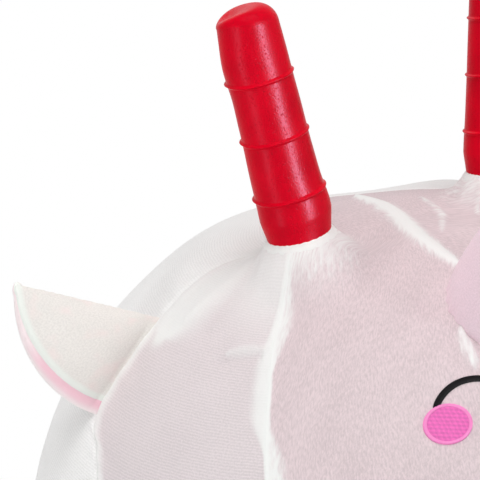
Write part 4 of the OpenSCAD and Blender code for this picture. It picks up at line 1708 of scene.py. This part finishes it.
@dataclass
class HandleGrip:
    """A hollow handle: a waisted tube with three thin mould fins, a little out of round, and a soft dented end.

    Each bulge is a rise, the height that it is at, its length and the angle that it faces.
    """

    seat: HandleSeat = HandleSeat()
    heights: tuple[float, ...] = (-9.0, 0.0, 6.55, 14.41, 26.2, 60.26, 94.32, 113.97, 131.0)
    radii: tuple[float, ...] = (17.2, 17.6, 18.385, 19.4, 19.197, 18.24, 17.486, 16.935, 16.5)
    fins: tuple[float, ...] = (27.3, 60.5, 93.7)
    fin_rise: float = 1.25
    fin_w: float = 0.75
    fin_reach: float = 2.4
    length: float = 131.0
    tube_to: float = 118.0
    cap_run: float = 10.0
    end_at: float = 124.0
    end_r: float = 6.5
    end_slant: float = 2.5
    dome: float = 1.6
    dent: float = 4.2
    dent_w: float = 9.5
    dent_share: float = 0.66
    press: float = 145.0
    bulges: tuple[tuple[float, float, float, float], ...] = (
        (1.5, 102.0, 15.0, 145.0), (1.6, 18.0, 12.0, -35.0), (-0.2, 84.0, 9.0, 145.0))

    def across(self, h: Array, turn: Array) -> Array:
        """Radius at a height and an angle: the tube, its fins and the places where soft vinyl bulges.

        Args:
            h: heights above the root.
            turn: angles about the axis.

        Returns:
            A radius for each.
        """
        wide = np.interp(h, self.heights, self.radii)
        wave = h + 0.35 * np.sin(2.0 * turn + 0.6)
        fin = sum(bell(wave - at, self.fin_w) for at in self.fins)
        soft = sum(rise * bell(h - at, long) * np.maximum(np.cos(turn - math.radians(facing)), 0.0)
                   for rise, at, long, facing in self.bulges)
        uneven = 0.15 * np.sin(h * 0.19) * np.cos(2.0 * turn)
        return wide + soft + fin * self.fin_rise * (1.0 + 0.2 * np.cos(5.0 * turn)) + uneven

    def grid(self, side: Side) -> Grid:
        """The handle's skin from under the hem over the end's round edge to the dented middle of its end.

        Rows climb the tube, then turn over an edge of radius e, which is smaller on the pressed side, and run in to
        the middle, where the height is a low dome less a bell-shaped dent.

        Args:
            side: which handle.

        Returns:
            The grid, closed at the end.
        """
        turn, press = full_turn(144), math.radians(self.press)
        near = [at + np.linspace(-self.fin_reach, self.fin_reach, 25) for at in self.fins]
        low = np.unique(np.concatenate([np.linspace(self.heights[0], self.tube_to, 130), *near]))[:, None]
        edge = self.end_r - self.end_slant * np.cos(turn - press)
        rise = np.linspace(0.0, 1.0, 10)[1:, None]
        bend = np.linspace(0.0, math.pi / 2, 16)[1:, None]
        inward = np.linspace(1.0, 0.04, 22)[1:, None]
        top_r = self.across(np.full((1, 1), self.end_at), turn)
        h = np.concatenate([low + 0 * turn, self.tube_to + (self.length - edge - self.tube_to) * rise,
                            self.length - edge + edge * np.sin(bend), self.length + 0 * inward * turn])
        tube = self.across(h[:len(low) + len(rise)], turn)
        wide = np.concatenate([tube, top_r - edge * (1.0 - np.cos(bend)), (top_r - edge) * inward])
        dent_x, dent_y = (self.dent_share * self.radii[-1] * f(press) for f in (math.cos, math.sin))
        gap = np.hypot(wide * np.cos(turn) - dent_x, wide * np.sin(turn) - dent_y)
        cap = ease(self.tube_to, self.tube_to + self.cap_run, h)
        h = h + cap * (self.dome * (1.0 - np.square(wide / top_r)) - self.dent * bell(gap, self.dent_w))
        points = side.turned(self.seat.placed(wide, turn, h))
        uv = stacked(np.linspace(0.0, 0.11, 145)[None], h[:, :1] * MM)
        return Grid(points, uv, ring=True, tips=(None, points[-1].mean(axis=0)))

    def build(self, vinyl: bpy.types.Material) -> None:
        """Makes both handles.

        Args:
            vinyl: their finish.
        """
        for side in Side:
            inside = side.turned(np.array(self.seat.root) + 60.0 * self.seat.axis())
            dress(self.grid(side).make(f"{side.word}_grip", inside), vinyl, "ball", RED, f"{side.word}_handle")


def coat_nodes(finishes: dict[str, bpy.types.Material]) -> None:
    """Gives the CAD nodes that stay in view their finishes.

    Args:
        finishes: a material by the node's name.
    """
    for name, material in finishes.items():
        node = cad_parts[name]
        node.data.materials.clear()
        node.data.materials.append(material)
        LOG.info("%s: %s", name, material.name)


# The studio


def stood(right: Sequence[float], upward: Sequence[float], back: Sequence[float], at: Sequence[float]) -> Matrix:
    """The matrix of a camera or a lamp from its three directions and its place."""
    return Matrix([list(row) for row in zip(right, upward, back, at)] + [[0.0, 0.0, 0.0, 1.0]])


@dataclass
class Studio:
    """A pale floor, soft light and the photograph's camera, in metres and watts.

    Each box is a lamp's place, its width and height, its power and whether only glossy skins see it.
    """

    camera_at: tuple[float, float, float] = (-0.60429, -0.70911, 0.845837)
    right: tuple[float, float, float] = (0.81696, -0.57634, -0.02045)
    upward: tuple[float, float, float] = (0.25042, 0.32258, 0.91282)
    back: tuple[float, float, float] = (-0.51949, -0.75085, 0.40786)
    lens: float = 132.288
    sensor: float = 36.0
    world: float = 0.464
    floor_grey: float = 0.9
    floor_rings: tuple[float, ...] = (0.001, 0.5, 1.0, 4.0, 30.0)
    shadow_r: float = 0.24
    white_r: float = 0.46
    aim: tuple[float, float, float] = (0.0, 0.0, 0.28)
    boxes: tuple[tuple[str, tuple[float, float, float], Span, float, bool], ...] = (
        ("key_strip", (0.6, -1.9, 0.8), (0.26, 1.5), 5.0, False),
        ("left_strip", (-1.9, -0.3, 0.45), (0.4, 0.8), 5.5, False),
        ("top_box", (-0.3, -0.5, 2.4), (1.4, 1.4), 24.0, False),
        ("back_box", (0.3, 1.8, 1.5), (1.0, 1.0), 5.0, False),
        ("gloss_front", (0.3, -2.0, 0.62), (0.4, 1.2), 320.0, True),
        ("gloss_left", (-1.2, -0.25, 0.3), (0.16, 0.58), 9.0, True))

    def camera(self) -> None:
        """Puts the camera at the photograph's place."""
        data = bpy.data.cameras.new("photo_camera")
        data.lens, data.sensor_width, data.clip_end = self.lens, self.sensor, 50.0
        camera = bpy.data.objects.new("photo_camera", data)
        camera.matrix_world = stood(self.right, self.upward, self.back, self.camera_at)
        bpy.context.scene.collection.objects.link(camera)
        bpy.context.scene.camera = camera

    def lamp(self, name: str, at: Sequence[float], size: Span, power: float, gloss: bool) -> None:
        """Adds a soft box that looks at the ball's middle.

        Args:
            name: the lamp's name.
            at: its place.
            size: its width and height.
            power: its power in watts.
            gloss: whether only glossy skins see it.
        """
        data = bpy.data.lights.new(name, "AREA")
        data.shape, data.energy = "RECTANGLE", power
        data.size, data.size_y = size
        lamp = bpy.data.objects.new(name, data)
        back = unit(np.array(at) - self.aim)
        side = unit(np.cross([0.0, 0.0, 1.0], back))
        lamp.matrix_world = stood(side, np.cross(back, side), back, at)
        lamp.visible_camera = False
        lamp.visible_diffuse = not gloss
        bpy.context.scene.collection.objects.link(lamp)

    def sky(self) -> None:
        """Makes an even pale world that cameras, mirrors and glass see as white."""
        recipe = Recipe("pale_room", world=True)
        level = recipe.node("ShaderNodeMapRange", {}, {"Value": recipe.seen_white(), "To Min": self.world})
        glow = recipe.node("ShaderNodeBackground", {}, {"Color": (1.0, 1.0, 1.0, 1.0), "Strength": level})
        bpy.context.scene.world = recipe.closed(glow)

    def floor(self) -> None:
        """Makes a round pale floor, white to the camera away from the object's shadow."""
        turns, away = full_turn(96), np.array(self.floor_rings)[:, None] / MM
        points = stacked(away * np.cos(turns), away * np.sin(turns), np.array(-CENTRE_Z))
        grid = Grid(points, lapped(points)[..., :2] * MM, ring=True, tips=(np.array([0.0, 0.0, -CENTRE_Z]), None))
        piece = grid.make("studio_floor", (0.0, 0.0, -2 * CENTRE_Z))
        recipe = Recipe("pale_floor")
        x, y = recipe.parts(recipe.place())
        far = ((x * x + y * y) ** 0.5).span(self.shadow_r, self.white_r)
        matt = recipe.node("ShaderNodeBsdfDiffuse", {}, {"Color": (*[self.floor_grey] * 3, 1.0)})
        glow = recipe.node("ShaderNodeEmission", {}, {"Color": (1.0, 1.0, 1.0, 1.0), "Strength": 1.0})
        mixed = recipe.node("ShaderNodeMixShader", {}, {0: recipe.seen_white() * far, 1: matt, 2: glow})
        piece.data.materials.append(recipe.closed(mixed))

    def build(self) -> None:
        """Sets up the room, the lamps and the camera."""
        bpy.context.scene.view_settings.view_transform = "Standard"
        self.camera()
        self.sky()
        self.floor()
        for box in self.boxes:
            self.lamp(*box)


def main() -> None:
    """Builds the studio and every sub-assembly in order."""
    logging.basicConfig(level=logging.INFO, format="%(message)s")
    Studio().build()
    form = CoverForm()
    face_cloth = PlushFinish("face_plush", (229, 212, 215), nap=Nap.STROKED, shade=0.21).material()
    side_cloth = PlushFinish("side_plush", (229, 219, 221), nap=Nap.RIBBED, shade=0.14).material()
    back_cloth = PlushFinish("back_plush", (250, 249, 248), nap=Nap.RIBBED, shade=0.11).material()
    horn_cloth = PlushFinish("horn_plush", (249, 226, 236), doubled_and_lit=(244, 230, 236), shade=0.1).material()
    ear_cloth = PlushFinish("ear_front_plush", (245, 242, 237), doubled_and_lit=(244, 248, 242), blush=(249, 235, 232),
                            shade=0.09).material()
    black = ThreadFinish("black_satin_stitch", (22, 20, 22), (22, 20, 22)).material()
    magenta = ThreadFinish("magenta_satin_stitch", (246, 119, 196), (249, 146, 206), pitch=0.0021,
                           stitch=0.0026).material()
    red = VinylFinish("red_vinyl", (220, 2, 33)).material()
    white_plastic = HardFinish("white_plastic", (236, 235, 232), 0.35).material()
    metal = HardFinish("plated_metal", (205, 205, 208), 0.22, metallic=1.0).material()
    PlushCover(form).build(face_cloth, side_cloth, back_cloth)
    StitchedFace(form).build(black, magenta)
    pink = EarBackFinish().material()
    for side in Side:
        StuffedEar(form).build(side, ear_cloth, pink)
    StuffedHorn(form).build(horn_cloth)
    ZipTapes().build(TapeFinish().material())
    InflatedBall(form).build(red)
    HandleGrip().build(red)
    coat_nodes({name: white_plastic for name in (
        "valve_seat", "valve_plug", "left_zip_teeth", "right_zip_teeth", "zip_top_stop", "zip_bottom_stop")})
    coat_nodes({name: metal for name in ("zip_slider", "zip_pin", "zip_pull")})


if __name__ == "__main__":
    main()
